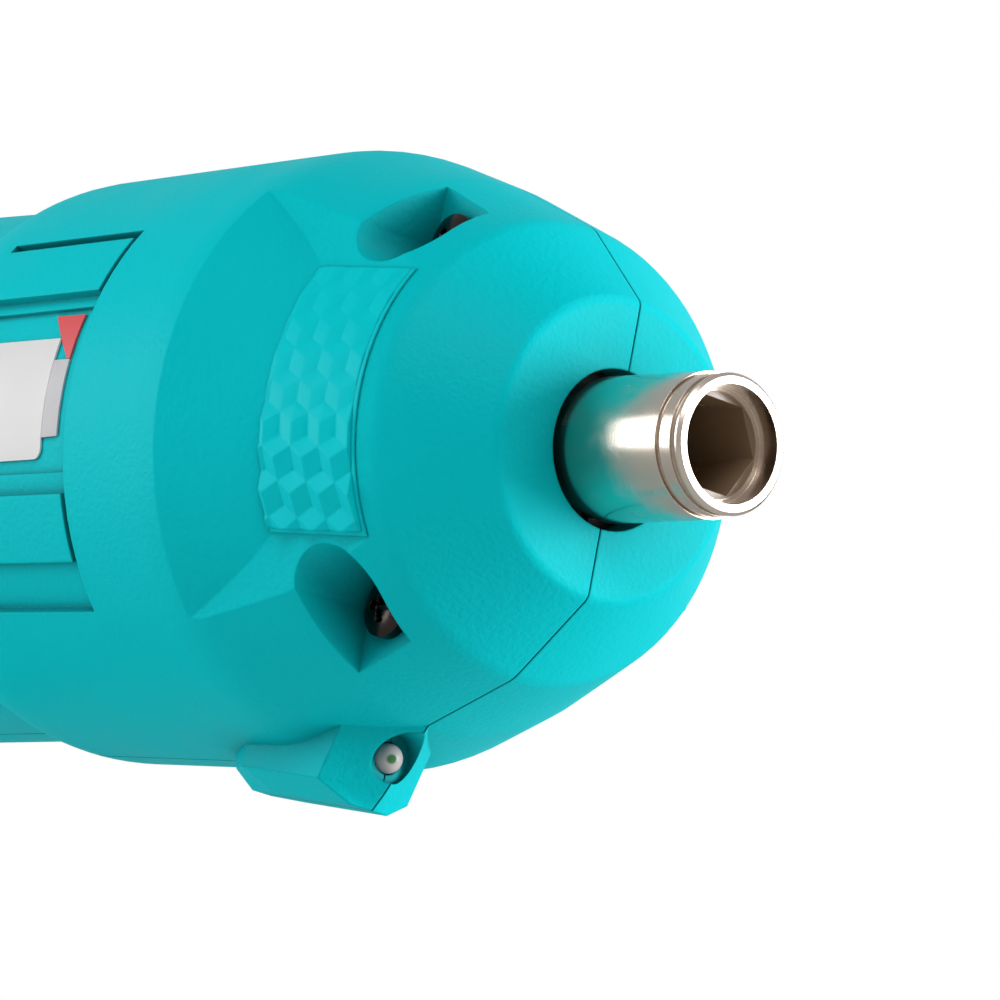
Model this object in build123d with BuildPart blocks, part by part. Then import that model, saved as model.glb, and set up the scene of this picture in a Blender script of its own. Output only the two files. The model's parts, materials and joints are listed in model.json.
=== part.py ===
from build123d import *
from math import acos, cos, pi, radians, sin, sqrt, tan
import os

# Cordless screwdriver of the 4 V class with a folding handle, in millimetres.
# X runs forward along the spindle, Y to the tool's left and Z up. The origin is the centre of
# the flat nose face. The tool stands as a pistol: its handle is folded down from the head.
os.makedirs("parts", exist_ok=True)

# Clearances
running_fit = 0.05  # radial, between round parts that turn in each other
seat_gap = 0.1  # radial, round pieces that only stand in a seat
slide_gap = 0.3  # round buttons that travel in an opening
end_float = 0.2  # beside gears and washers
seam_gap = 0.12  # between the two halves of a housing
hinge_gap = 0.25  # each side of the handle's tongue
knuckle_gap = 0.4  # round the turning tongue and neck

# Bit sleeve
hex_across_flats = 6.4
hex_depth = 13.6
mouth_radius = 4.2
mouth_depth = 1.8
sleeve_radius = 5.2
journal_radius = 4.8  # behind the nose face, where it turns in the bush
sleeve_reach = 12.4
rim_radius = 5.0
rim_length = 0.45
rim_chamfer = 0.25
undercut_radius = 4.8
undercut_length = 0.45
collar_radius = 5.04
collar_length = 1.1
groove_radius = 4.92
groove_width = 0.25
tail_across_flats = 8.0
magnet_radius = 3.0
magnet_length = 3.0

# Spindle bearing and its retaining clip
bush_wall = 2.0
bush_length = 13.8
neck_wall = 2.0
clip_thickness = 0.6
clip_groove_depth = 0.5
clip_reach = 1.3
clip_opening = 3.0

# Two planetary stages
gear_module = 0.5
pressure_angle = radians(25)
sun_teeth = 9
planet_teeth = 21
ring_teeth = sun_teeth + 2 * planet_teeth
addendum = 0.8 * gear_module
dedendum = 1.0 * gear_module
tooth_thinning = 0.08
planet_count = 3
planet_pin_radius = 1.5
planet_face = 5.1
output_plate = 3.0
stage_plate = 2.0
carrier_rim_gap = 0.75  # between a carrier's plate and the ring gear's teeth
ring_wall = 1.4
ring_key_width = 3.0
ring_key_height = 0.5
case_wall = 1.3
case_front_wall = 2.0
case_lug_width = 4.0
case_lug_height = 1.2
case_lug_length = 5.0
washer_thickness = 0.18

# Motor
motor_plate_thickness = 2.0
motor_radius = 12.2
motor_length = 30.8
can_wall = 0.8
end_cap_length = 3.0
bearing_boss_radius = 3.0
bearing_boss_length = 1.4
shaft_radius = 1.0
magnet_thickness = 3.0
magnet_air_gap = 0.5
magnet_span = 138
core_length = 14.0
winding_overhang = 2.4
pole_count = 3
pole_shoe = 2.0
pole_stem = 2.6
hub_radius = 2.2
coil_spacing = 1.4
commutator_radius = 3.0
commutator_length = 4.2
brush_width = 2.4
brush_height = 3.2
brush_post = 3.0
terminal_width = 2.8
terminal_thickness = 0.6
terminal_length = 3.4
terminal_offset = 7.0
motor_screw_radius = 1.2
motor_screw_offset = 8.0

# Head housing: the outline of the nose is read along the seam, from the face to the shoulder
nose_wall = 3.0
nose_bore_gap = 0.55
nose_face_radius = 10.75
nose_rim_fillet = 0.9
knee_x = -6.5
knee_radius = 16.5
knee_fillet = 3.0
cone_end_x = -15.4
cone_end_radius = 19.95
crown_x = -23.9
side_wall = 2.6  # over the gear case, behind the textured panel
panel_step = 3.8  # from the panel's deep edge up to the crown
crown_fillet = 12.0
shoulder_x = -53.5
shoulder_drop = 0.97  # the barrel's taper between crown and shoulder
shoulder_fillet = 13.0
foot_x = -56.5
foot_drop = 1.25  # from the shoulder to its foot
foot_groove_width = 0.9
foot_groove_depth = 0.65
rear_drop = 1.73  # from the shoulder to the slim rear part
barrel_wall = 2.4
panel_half_height = 9.8
panel_front_x = -8.0
panel_front_radius = 17.05
panel_rear_x = -16.4
crescent_x = -24.3
ledge_rear_x = -23.0
ledge_rear_y = 15.76
ledge_rear_z = 15.48

# Side zone with its label and two raised bars, in degrees up and down from the side
zone_front_x = -34.6
zone_rear_x = -50.0
zone_low_angle = 43
zone_high_angle = 35
zone_depth = 0.7
bar_low_angle = 20
bar_high_angle = 33
bar_front_gap = 0.5
label_low_angle = -16
label_high_angle = 17.5
label_recess_depth = 0.35
label_thickness = 0.15
label_glue = 0.03
label_margin_angle = 1.5
label_front_margin = 1.4

# Screws through the nose, in U shaped pockets on the right side
nose_screw_x = -11.6
nose_screw_z = 13.3
pocket_floor = 7.75
pocket_half_width = 2.55
pocket_draft = 4
screw_radius = 1.4
screw_head_radius = 2.2
screw_head_height = 1.3
screw_recess_radius = 1.2
screw_recess_depth = 0.8
screw_grip = 6.0  # length held by the far half

# Chin with the work light
led_z = -22.15
led_radius = 1.1
led_front_x = -17.7
led_length = 4.6
led_flange_radius = 1.4
led_flange_length = 0.8
led_pocket_radius = 1.85
led_board_thickness = 1.0
led_board_height = 4.4
led_board_width = 4.2
chin_half_width = 4.3
chin_stern_half_width = 2.0
chin_keel_half_width = 1.75
chin_keel_stern = 0.9
chin_taper = 0.2
chin_root_x = -12.9
chin_tilt = 6.2  # the underside rises towards the stern
chin_top_z = -17.0
chin_top_x = -17.85
chin_edge_z = -24.6
chin_edge_x = -20.95
chin_keel_z = -25.95
chin_keel_x = -19.9

# Rear of the head and the knuckle of the handle
terminal_room = 4.9
partition_wall = 9.0
ear_radius = 19.5
ear_corner = 9.0
tongue_radius = 15.4
tongue_half_width = 9.25
neck_half_width = 12.0
pin_radius = 3.0
rear_screw_z = 14.4
rear_screw_floor = 8.6
rear_screw_back = 7.5  # behind the partition's front face

# Fold lock button, round the right end of the pivot pin
lock_radius = 5.5
lock_travel = 2.0
lock_skirt_wall = 0.8
lock_skirt_length = 3.0
lock_sink = 0.1  # the button's face lies below the ear's crest, clear of a table
lock_cap = 2.3
lock_spring_wall = 1.1

# Handle: its own axis runs down from the pivot, folded by this angle from straight back
fold_angle = 70
shoulder_gap = 0.5
head_underside_gap = 0.45
handle_top = 8.0
handle_half_depth = 17.2
handle_half_width = 18.2
handle_waist_depth = 1.0
handle_waist_width = 2.3
handle_lean = 1.6
handle_wall = 2.2
handle_foot_fillet = 2.6
cavity_top = 23.0
grip_thickness = 1.2
grip_start = 1.0  # below the cell's upper end
grip_end = 6.0  # above the cell's lower end
grip_front = 3.0

# Trigger and switch, in the handle's own frame: depth forward, drop down from the pivot
trigger_drop = 40.0
trigger_height = 17.0
trigger_half_width = 6.3
trigger_reach = 19.4
trigger_hollow = 1.6
trigger_round = 1.2
trigger_travel = 3.5
trigger_flange = 1.8
trigger_flange_front = 9.9
trigger_flange_margin = 1.6
trigger_stem_radius = 1.8
trigger_stem_length = 7.6
switch_front = 4.2
switch_depth = 13.0
switch_half_width = 6.0
switch_height = 17.2
rib_thickness = 1.5
spring_wall = 0.7
selector_drop = 26.0
selector_depth = 5.0
selector_radius = 3.1
selector_travel = 1.5
selector_proud = 0.5  # what stands out when it is pushed to the other side

# Battery cell and charging board
cell_radius = 9.2
cell_length = 65.0
cell_room = 2.7  # above the cell, for the wires
cell_depth = -1.5
tab_thickness = 0.2
tab_half_width = 4.0
tab_margin = 1.0
board_room = 2.4  # below the cell, for the wires
board_thickness = 1.2
board_half_width = 10.0
board_half_depth = 9.0
socket_half_width = 3.75
socket_half_depth = 1.35
socket_length = 5.4
socket_wall = 0.4
socket_base = 1.0
port_margin = 0.25
port_recess = 0.8
light_radius = 1.3
light_depth = 6.5
boss_radius = 3.2
handle_screw_floor = 8.0
handle_screw_radius = 1.1
handle_screw_head_radius = 2.2
handle_screw_head_height = 1.5
handle_screw_grip = 6.0

# Worked out along the spindle, from the nose face back
bush_radius = journal_radius + running_fit + bush_wall
neck_radius = bush_radius + neck_wall
nose_bore = sleeve_radius + nose_bore_gap
clip_front = -nose_wall - end_float - seat_gap
clip_rear = clip_front - clip_thickness
bush_front = clip_rear - end_float
case_inner = bush_front - bush_length
case_front = case_inner + case_front_wall
output_front = case_inner - washer_thickness - seat_gap
output_rear = output_front - output_plate
planet2_front = output_rear - end_float
planet2_rear = planet2_front - planet_face
stage_front = planet2_rear - end_float
stage_rear = stage_front - stage_plate
planet1_front = stage_rear - end_float
planet1_rear = planet1_front - planet_face
plate_front = planet1_rear - end_float
motor_front = plate_front - motor_plate_thickness
motor_rear = motor_front - motor_length
partition_x = motor_rear - terminal_room
slot_radius = tongue_radius + knuckle_gap
pivot_x = partition_x - partition_wall - slot_radius

# Worked out across the gears
sun_radius = gear_module * sun_teeth / 2
planet_radius = gear_module * planet_teeth / 2
ring_radius = gear_module * ring_teeth / 2
orbit_radius = sun_radius + planet_radius
carrier_radius = ring_radius - addendum - carrier_rim_gap
ring_outer = ring_radius + dedendum + ring_wall
case_bore = ring_outer + seat_gap
case_radius = case_bore + case_wall
case_seat = case_radius + seat_gap

# Worked out for the head's outline
panel_rear_radius = case_seat + side_wall
crown_radius = panel_rear_radius + panel_step
shoulder_radius = crown_radius - shoulder_drop
rear_radius = shoulder_radius - rear_drop
lock_face_y = rear_radius - lock_sink
pin_half_length = lock_face_y - lock_cap - lock_travel - end_float
lock_bore_floor = lock_face_y - lock_cap - lock_skirt_length - lock_travel - 3 * end_float
far = 60.0  # reach of cutting tools beyond the body

# Worked out down the handle, from the pivot
cell_top = trigger_drop + switch_height / 2 + rib_thickness + tab_thickness + cell_room
cell_foot = cell_top + cell_length
board_drop = cell_foot + tab_thickness + board_room
board_foot = board_drop + board_thickness
handle_length = board_foot + socket_length + port_recess
grip_top = cell_top + grip_start
grip_bottom = cell_foot - grip_end


def side_plane(y):
    """Plane across the tool at this y: drawn in X and Z, it faces the right side."""
    return Plane.XZ.offset(-y)


def radial_plane(angle):
    """Plane through the spindle axis, its second axis pointing left and up by this angle."""
    turn = radians(angle)
    return Plane(origin=(0, 0, 0), x_dir=(1, 0, 0), z_dir=(0, -sin(turn), cos(turn)))


def involute(angle):
    """Involute function of a pressure angle in radians."""
    return tan(angle) - angle


def gear_outline(teeth, outer, inner, thinning):
    """Corners of a gear with a tooth on the first axis, from its tip and root radii."""
    pitch = gear_module * teeth / 2
    base = pitch * cos(pressure_angle)
    half_tooth = pi / (2 * teeth) - thinning / (2 * pitch)

    def half_angle(radius):
        roll = acos(min(1, base / radius))
        return half_tooth + involute(pressure_angle) - involute(roll)

    flank = [(radius, half_angle(radius)) for radius in (inner, pitch, outer)]
    corners = []
    for tooth in range(teeth):
        centre = 2 * pi * tooth / teeth
        for radius, half in flank:
            corners.append((radius * cos(centre - half), radius * sin(centre - half)))
        for radius, half in reversed(flank):
            corners.append((radius * cos(centre + half), radius * sin(centre + half)))
    return corners


def outer_gear(teeth):
    """Outline of a sun or planet gear."""
    pitch = gear_module * teeth / 2
    return gear_outline(teeth, pitch + addendum, pitch - dedendum, tooth_thinning)


def write(builder, name):
    """Labels a finished piece and writes it to its own file."""
    builder.part.label = name
    export_step(builder.part, f"parts/{name}.step")


# Head housing, both halves in one
barrel_slope = shoulder_drop / (crown_x - shoulder_x)


def barrel_radius(x):
    """Outer radius of the tapered barrel between crown and shoulder."""
    return crown_radius - barrel_slope * (crown_x - x)


ledge_corner = Vector(panel_rear_x, sqrt(panel_rear_radius**2 - panel_half_height**2), panel_half_height)
ledge_front = Vector(panel_front_x, sqrt(panel_front_radius**2 - panel_half_height**2), panel_half_height)
ledge_tip = Vector(ledge_rear_x, ledge_rear_y, ledge_rear_z)
ledge_normal = (ledge_front - ledge_corner).cross(ledge_tip - ledge_corner).normalized()
ledge_plane = Plane(origin=ledge_corner, z_dir=ledge_normal)

with BuildPart() as below_ledge:
    with Locations((crown_x / 2, 0, panel_half_height)):
        Box(-2 * crown_x, far, far, align=(Align.CENTER, Align.MIN, Align.MIN))
    inner_side = Keep.BOTTOM if ledge_normal.Y > 0 else Keep.TOP
    split(bisect_by=ledge_plane, keep=inner_side)

with BuildPart() as side_recess:
    # Everything outside the panel's shallow cone and the crescent's steep one
    with BuildSketch(radial_plane(-90)):
        with BuildLine():
            wall_slope = (crown_radius - panel_rear_radius) / (panel_rear_x - crescent_x)
            panel_slope = (panel_rear_radius - panel_front_radius) / (panel_front_x - panel_rear_x)
            Polyline(
                (0, panel_front_radius + panel_slope * panel_front_x),
                (panel_rear_x, panel_rear_radius),
                (2 * crescent_x - panel_rear_x, crown_radius + wall_slope * (panel_rear_x - crescent_x)),
                (0, 2 * crown_radius),
                close=True,
            )
        make_face()
    revolve(axis=Axis.X, revolution_arc=180)
    add(below_ledge.part, mode=Mode.SUBTRACT)
    add(mirror(below_ledge.part, about=Plane.XY, mode=Mode.PRIVATE), mode=Mode.SUBTRACT)

with BuildPart() as side_zone:
    # Recess for the label and the bars, sunk a constant depth below the tapered barrel
    with BuildSketch(radial_plane(-zone_low_angle)):
        with BuildLine():
            Polyline(
                (zone_front_x, barrel_radius(zone_front_x) - zone_depth),
                (zone_rear_x, barrel_radius(zone_rear_x) - zone_depth),
                (zone_rear_x, crown_radius + zone_depth),
                (zone_front_x, crown_radius + zone_depth),
                close=True,
            )
        make_face()
    revolve(axis=Axis.X, revolution_arc=zone_low_angle + zone_high_angle)
    for start in (bar_low_angle, -bar_high_angle):
        with BuildSketch(radial_plane(start)):
            with BuildLine():
                Polyline(
                    (zone_front_x - bar_front_gap, 0.5 * crown_radius),
                    (zone_rear_x, 0.5 * crown_radius),
                    (zone_rear_x, barrel_radius(zone_rear_x)),
                    (zone_front_x - bar_front_gap, barrel_radius(zone_front_x)),
                    close=True,
                )
            make_face()
        revolve(axis=Axis.X, revolution_arc=bar_high_angle - bar_low_angle, mode=Mode.SUBTRACT)
    label_floor = zone_depth + label_recess_depth
    with BuildSketch(radial_plane(label_low_angle)):
        with BuildLine():
            Polyline(
                (zone_front_x - bar_front_gap, barrel_radius(zone_front_x) - label_floor),
                (zone_rear_x, barrel_radius(zone_rear_x) - label_floor),
                (zone_rear_x, crown_radius),
                (zone_front_x - bar_front_gap, crown_radius),
                close=True,
            )
        make_face()
    revolve(axis=Axis.X, revolution_arc=label_high_angle - label_low_angle)

fold = radians(fold_angle)
handle_down = Vector(-cos(fold), 0, -sin(fold))
handle_forward = Vector(sin(fold), 0, -cos(fold))
pivot = Vector(pivot_x, 0, 0)

with BuildPart() as knuckle_slot:
    # Room for the tongue, and for its neck from straight back to folded down
    neck_room = neck_half_width + knuckle_gap
    slot_reach = 2 * ear_radius
    neck_edge = pivot + handle_forward * neck_room
    neck_end = neck_edge + handle_down * slot_reach
    with BuildSketch(side_plane(0)):
        with Locations((pivot_x, 0)):
            Circle(slot_radius)
        with BuildLine():
            Polyline(
                (pivot_x, neck_room),
                (pivot_x - slot_reach, neck_room),
                (pivot_x - slot_reach, -slot_reach),
                (neck_end.X, neck_end.Z),
                (neck_edge.X, neck_edge.Z),
                close=True,
            )
        make_face()
    extrude(amount=tongue_half_width + hinge_gap, both=True)

with BuildPart() as ear_trim:
    # What is cut away behind the pivot to round the ears
    with BuildSketch(side_plane(0)):
        with Locations((pivot_x, 0)):
            Rectangle(far, far, align=(Align.MAX, Align.CENTER))
            Circle(ear_radius, mode=Mode.SUBTRACT)
    extrude(amount=far, both=True)

rib_stations = [motor_front - motor_length * share for share in (0.25, 0.8)]
with BuildPart() as head_cavity:
    with BuildSketch(side_plane(0)):
        with BuildLine():
            Polyline(
                (-nose_wall, 0),
                (-nose_wall, neck_radius + seat_gap),
                (case_front, neck_radius + seat_gap),
                (case_front, case_seat),
                (plate_front, case_seat),
                (plate_front, barrel_radius(plate_front) - barrel_wall - label_floor),
                (zone_rear_x, barrel_radius(zone_rear_x) - barrel_wall - label_floor),
                (foot_x, rear_radius - barrel_wall),
                (partition_x, rear_radius - barrel_wall),
                (partition_x, 0),
                close=True,
            )
        make_face()
    revolve(axis=Axis.X)
    # Ribs that hold the motor stay standing
    for station in rib_stations:
        with BuildSketch(Plane.YZ.offset(station)):
            Circle(crown_radius)
            Circle(motor_radius + seat_gap, mode=Mode.SUBTRACT)
        extrude(amount=-rib_thickness, mode=Mode.SUBTRACT)
    # The motor plate sits in the housing, and lugs keep the gear case from turning
    with BuildSketch(Plane.YZ.offset(plate_front)):
        Circle(crown_radius)
        Circle(case_seat, mode=Mode.SUBTRACT)
    extrude(amount=-motor_plate_thickness, mode=Mode.SUBTRACT)
    with BuildSketch(Plane.YZ.offset(plate_front + seat_gap)):
        Rectangle(case_lug_width + 2 * seat_gap, 2 * (case_seat + case_lug_height))
    extrude(amount=case_lug_length + 2 * seat_gap)

chin_levels = [
    # front corner in X and Z, tilt, bow, rear corner, stern, half width, half width of the stern
    (chin_top_x, chin_top_z, 0, chin_root_x, -30.0, -36.0, chin_half_width, chin_stern_half_width),
    (chin_edge_x, chin_edge_z, chin_tilt, -18.5, -30.0, -33.3, chin_half_width, chin_stern_half_width),
    (chin_keel_x, chin_keel_z, chin_tilt, -19.5, -29.0, -32.4, chin_keel_half_width, chin_keel_stern),
]


def chin_outline(front, height, tilt, bow, rear, stern, half, stern_half):
    """One level of the boat shaped chin, drawn from its bow to its stern, its rear tilted up."""
    level = Plane(origin=(front, 0, height)).rotated((0, tilt, 0))
    with BuildSketch(level) as outline:
        with BuildLine():
            Polyline(
                (bow - front, 0),
                (0, half),
                (rear - front, half - chin_taper),
                (stern - front, stern_half),
                (stern - front, -stern_half),
                (rear - front, chin_taper - half),
                (0, -half),
                close=True,
            )
        make_face()
    return outline.sketch


with BuildPart() as chin:
    outlines = [chin_outline(*level) for level in chin_levels]
    for upper, lower in zip(outlines, outlines[1:]):
        loft([upper, lower])
    # Only what stands below the spindle's gear case is wanted
    with BuildSketch(Plane.YZ):
        Circle(case_seat + side_wall / 2)
    extrude(amount=-far, mode=Mode.SUBTRACT)

nose_fillets = [nose_rim_fillet, knee_fillet, knee_fillet]
head_fillets = nose_fillets + [crown_fillet, shoulder_fillet, 0, 0, 0, 0, ear_corner]
with BuildPart() as head_blank:
    with BuildSketch(side_plane(0)):
        with BuildLine():
            outline = FilletPolyline(
                (0, 0),
                (0, nose_face_radius),
                (knee_x, knee_radius),
                (cone_end_x, cone_end_radius),
                (crown_x, crown_radius),
                (shoulder_x, shoulder_radius),
                (foot_x, shoulder_radius - foot_drop),
                (foot_x - foot_groove_width / 3, rear_radius - foot_groove_depth),
                (foot_x - foot_groove_width, rear_radius - foot_groove_depth),
                (foot_x - foot_groove_width, rear_radius),
                (pivot_x - ear_radius, rear_radius),
                (pivot_x - ear_radius, 0),
                radius=head_fillets,
            )
            Line(outline @ 1, outline @ 0)
        make_face()
    revolve(axis=Axis.X)
    for recess in (side_recess.part, side_zone.part):
        add(recess, mode=Mode.SUBTRACT)
        add(mirror(recess, about=Plane.XZ, mode=Mode.PRIVATE), mode=Mode.SUBTRACT)
    add(chin.part)
    add(ear_trim.part, mode=Mode.SUBTRACT)
    add(knuckle_slot.part, mode=Mode.SUBTRACT)
    add(head_cavity.part, mode=Mode.SUBTRACT)
    with BuildSketch(Plane.YZ):
        Circle(nose_bore)
    extrude(amount=-nose_wall, mode=Mode.SUBTRACT)
    # Work light: a pocket in the chin, a bore for the lens and a slot for its board
    with BuildSketch(Plane.YZ.offset(led_front_x - led_radius)):
        with Locations((0, led_z)):
            Circle(led_pocket_radius)
    extrude(amount=led_radius - led_front_x, mode=Mode.SUBTRACT)
    led_board_front = led_front_x - led_length
    with BuildSketch(Plane.YZ.offset(led_board_front + led_flange_length)):
        with Locations((0, led_z)):
            Circle(led_radius + seat_gap)
    extrude(amount=led_length, mode=Mode.SUBTRACT)
    with BuildSketch(Plane.YZ.offset(led_board_front + led_flange_length + seat_gap)):
        with Locations((0, led_z)):
            Rectangle(led_board_width + 2 * seat_gap, led_board_height + 2 * seat_gap)
    extrude(amount=-led_flange_length - led_board_thickness - 2 * seat_gap, mode=Mode.SUBTRACT)
    # Pivot pin, through both ears to blind ends
    with BuildSketch(side_plane(0)):
        with Locations((pivot_x, 0)):
            Circle(pin_radius)
    extrude(amount=pin_half_length + seat_gap, both=True, mode=Mode.SUBTRACT)

# Screws of the head: their places in X and Z, and the plane their heads stand on
rear_screw_x = partition_x - rear_screw_back
head_screw_places = [
    (nose_screw_x, nose_screw_z, pocket_floor),
    (nose_screw_x, -nose_screw_z, pocket_floor),
    (rear_screw_x, rear_screw_z, rear_screw_floor),
    (rear_screw_x, -rear_screw_z, rear_screw_floor),
]

with BuildPart() as head_shell_right:
    add(head_blank.part)
    split(bisect_by=side_plane(-seam_gap / 2), keep=Keep.TOP)
    # U shaped pockets, open upwards and downwards, with a flat floor for the screw's head
    for side in (1, -1):
        with BuildSketch(side_plane(-pocket_floor)):
            with Locations((nose_screw_x, side * nose_screw_z)):
                Circle(pocket_half_width)
                Rectangle(
                    2 * pocket_half_width,
                    far,
                    align=(Align.CENTER, Align.MIN if side > 0 else Align.MAX),
                )
        extrude(amount=crown_radius, taper=-pocket_draft, mode=Mode.SUBTRACT)
    for x, z, floor in head_screw_places:
        with BuildSketch(side_plane(0)):
            with Locations((x, z)):
                Circle(screw_radius + seat_gap)
        extrude(amount=floor, mode=Mode.SUBTRACT)
    with BuildSketch(side_plane(-rear_screw_floor)):
        with Locations((rear_screw_x, rear_screw_z), (rear_screw_x, -rear_screw_z)):
            Circle(screw_head_radius + slide_gap)
    extrude(amount=crown_radius, mode=Mode.SUBTRACT)
    # Bore of the fold lock button
    with BuildSketch(side_plane(-lock_bore_floor)):
        with Locations((pivot_x, 0)):
            Circle(lock_radius + running_fit)
    extrude(amount=crown_radius, mode=Mode.SUBTRACT)
write(head_shell_right, "head_shell_right")

with BuildPart() as head_shell_left:
    add(head_blank.part)
    split(bisect_by=side_plane(seam_gap / 2), keep=Keep.BOTTOM)
    for x, z, floor in head_screw_places:
        with BuildSketch(side_plane(0)):
            with Locations((x, z)):
                Circle(screw_radius)
        extrude(amount=-screw_grip, mode=Mode.SUBTRACT)
write(head_shell_left, "head_shell_left")

with BuildPart() as head_screws:
    for x, z, floor in head_screw_places:
        with BuildSketch(side_plane(-floor)):
            with Locations((x, z)):
                Circle(screw_head_radius)
        extrude(amount=screw_head_height)
        with BuildSketch(side_plane(screw_grip - seat_gap)):
            with Locations((x, z)):
                Circle(screw_radius)
        extrude(amount=screw_grip - seat_gap + floor)
        with BuildSketch(side_plane(-floor - screw_head_height)):
            with Locations((x, z)):
                RegularPolygon(screw_recess_radius, 4)
        extrude(amount=-screw_recess_depth, mode=Mode.SUBTRACT)
write(head_screws, "head_screws")

with BuildPart() as side_label:
    # A blank sheet on the floor of the right side's label recess
    label_front = zone_front_x - bar_front_gap - label_front_margin
    label_rear = zone_rear_x + label_front_margin
    label_start = 180 - label_high_angle + label_margin_angle
    label_back = label_floor - label_glue
    with BuildSketch(radial_plane(label_start)):
        with BuildLine():
            Polyline(
                (label_front, barrel_radius(label_front) - label_back),
                (label_rear, barrel_radius(label_rear) - label_back),
                (label_rear, barrel_radius(label_rear) - label_back + label_thickness),
                (label_front, barrel_radius(label_front) - label_back + label_thickness),
                close=True,
            )
        make_face()
    label_arc = label_high_angle - label_low_angle - 2 * label_margin_angle
    revolve(axis=Axis.X, revolution_arc=label_arc)
write(side_label, "side_label")

# Bit sleeve, spindle bearing and gear case
collar_front = sleeve_reach - rim_length - undercut_length
collar_rear = collar_front - collar_length
with BuildPart() as bit_sleeve:
    with BuildSketch(side_plane(0)):
        with BuildLine():
            Polyline(
                (sleeve_reach, 0),
                (sleeve_reach, rim_radius - rim_chamfer),
                (sleeve_reach - rim_chamfer, rim_radius),
                (sleeve_reach - rim_length, rim_radius),
                (sleeve_reach - rim_length - seat_gap, undercut_radius),
                (collar_front, undercut_radius),
                (collar_front, collar_radius),
                (collar_rear, collar_radius),
                (collar_rear, groove_radius),
                (collar_rear - groove_width, groove_radius),
                (collar_rear - groove_width, sleeve_radius),
                (0, sleeve_radius),
                (0, journal_radius),
                (clip_front + running_fit, journal_radius),
                (clip_front + running_fit, journal_radius - clip_groove_depth),
                (clip_rear - running_fit, journal_radius - clip_groove_depth),
                (clip_rear - running_fit, journal_radius),
                (output_front, journal_radius),
                (output_front, 0),
                close=True,
            )
        make_face()
    revolve(axis=Axis.X)
    # Tail that turns with the output carrier
    with BuildSketch(Plane.YZ.offset(output_front)):
        RegularPolygon(tail_across_flats / 2, 6, major_radius=False)
    extrude(amount=-output_plate)
    with BuildSketch(Plane.YZ.offset(sleeve_reach)):
        Circle(mouth_radius)
    extrude(amount=-mouth_depth, mode=Mode.SUBTRACT)
    with BuildSketch(Plane.YZ.offset(sleeve_reach - mouth_depth)):
        RegularPolygon(hex_across_flats / 2, 6, major_radius=False)
    extrude(amount=-hex_depth, mode=Mode.SUBTRACT)
    socket_floor = sleeve_reach - mouth_depth - hex_depth
    with BuildSketch(Plane.YZ.offset(socket_floor)):
        Circle(magnet_radius + running_fit)
    extrude(amount=-magnet_length, mode=Mode.SUBTRACT)
write(bit_sleeve, "bit_sleeve")

with BuildPart() as bit_magnet:
    with BuildSketch(Plane.YZ.offset(socket_floor)):
        Circle(magnet_radius)
    extrude(amount=-magnet_length)
write(bit_magnet, "bit_magnet")

with BuildPart() as retaining_clip:
    with BuildSketch(Plane.YZ.offset(clip_front)):
        Circle(journal_radius + clip_reach)
        Circle(journal_radius - clip_groove_depth + running_fit, mode=Mode.SUBTRACT)
        Rectangle(clip_opening, far, align=(Align.CENTER, Align.MAX), mode=Mode.SUBTRACT)
    extrude(amount=-clip_thickness)
write(retaining_clip, "retaining_clip")

with BuildPart() as spindle_bush:
    with BuildSketch(Plane.YZ.offset(bush_front)):
        Circle(bush_radius)
        Circle(journal_radius + running_fit, mode=Mode.SUBTRACT)
    extrude(amount=-bush_length)
write(spindle_bush, "spindle_bush")

with BuildPart() as gear_case:
    with BuildSketch(side_plane(0)):
        with BuildLine():
            Polyline(
                (bush_front, bush_radius),
                (bush_front, neck_radius),
                (case_front, neck_radius),
                (case_front, case_radius),
                (plate_front, case_radius),
                (plate_front, case_bore),
                (case_inner, case_bore),
                (case_inner, bush_radius),
                close=True,
            )
        make_face()
    revolve(axis=Axis.X)
    # Lugs above and below that key the case into the housing
    with BuildSketch(Plane.YZ.offset(plate_front + 2 * seat_gap)):
        Rectangle(case_lug_width, 2 * (case_radius + case_lug_height))
        Circle((case_radius + case_bore) / 2, mode=Mode.SUBTRACT)
    extrude(amount=case_lug_length)
    # Slots for the ring gear's keys
    with BuildSketch(Plane.YZ.offset(plate_front)):
        Rectangle(2 * (ring_outer + ring_key_height + seat_gap), ring_key_width + 2 * seat_gap)
    extrude(amount=case_inner - plate_front, mode=Mode.SUBTRACT)
write(gear_case, "gear_case")

with BuildPart() as thrust_washer:
    with BuildSketch(Plane.YZ.offset(case_inner - seat_gap / 2)):
        Circle(neck_radius)
        Circle(journal_radius + seat_gap, mode=Mode.SUBTRACT)
    extrude(amount=-washer_thickness)
write(thrust_washer, "thrust_washer")

with BuildPart() as ring_gear:
    with BuildSketch(Plane.YZ.offset(plate_front)):
        Circle(ring_outer)
        Rectangle(2 * (ring_outer + ring_key_height), ring_key_width)
        with BuildLine():
            # The teeth are the spaces of this cutter, so it is thickened by the play
            root_radius = ring_radius + dedendum
            tip_radius = ring_radius - addendum
            Polyline(*gear_outline(ring_teeth, root_radius, tip_radius, -tooth_thinning), close=True)
        make_face(mode=Mode.SUBTRACT)
    extrude(amount=output_rear - plate_front)
write(ring_gear, "ring_gear")

# Planet gears and their carriers
orbit_angles = [360 / planet_count * turn for turn in range(planet_count)]


def planet(front, angle):
    """A planet gear behind this x, at this angle of the orbit, with a tooth pointing outwards."""
    outward = Vector(0, cos(radians(angle)), sin(radians(angle)))
    centre = outward * orbit_radius + Vector(front, 0, 0)
    with BuildPart() as gear:
        with BuildSketch(Plane(origin=centre, x_dir=outward, z_dir=(1, 0, 0))):
            with BuildLine():
                Polyline(*outer_gear(planet_teeth), close=True)
            make_face()
            Circle(planet_pin_radius + running_fit, mode=Mode.SUBTRACT)
        extrude(amount=-planet_face)
    return gear


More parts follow.
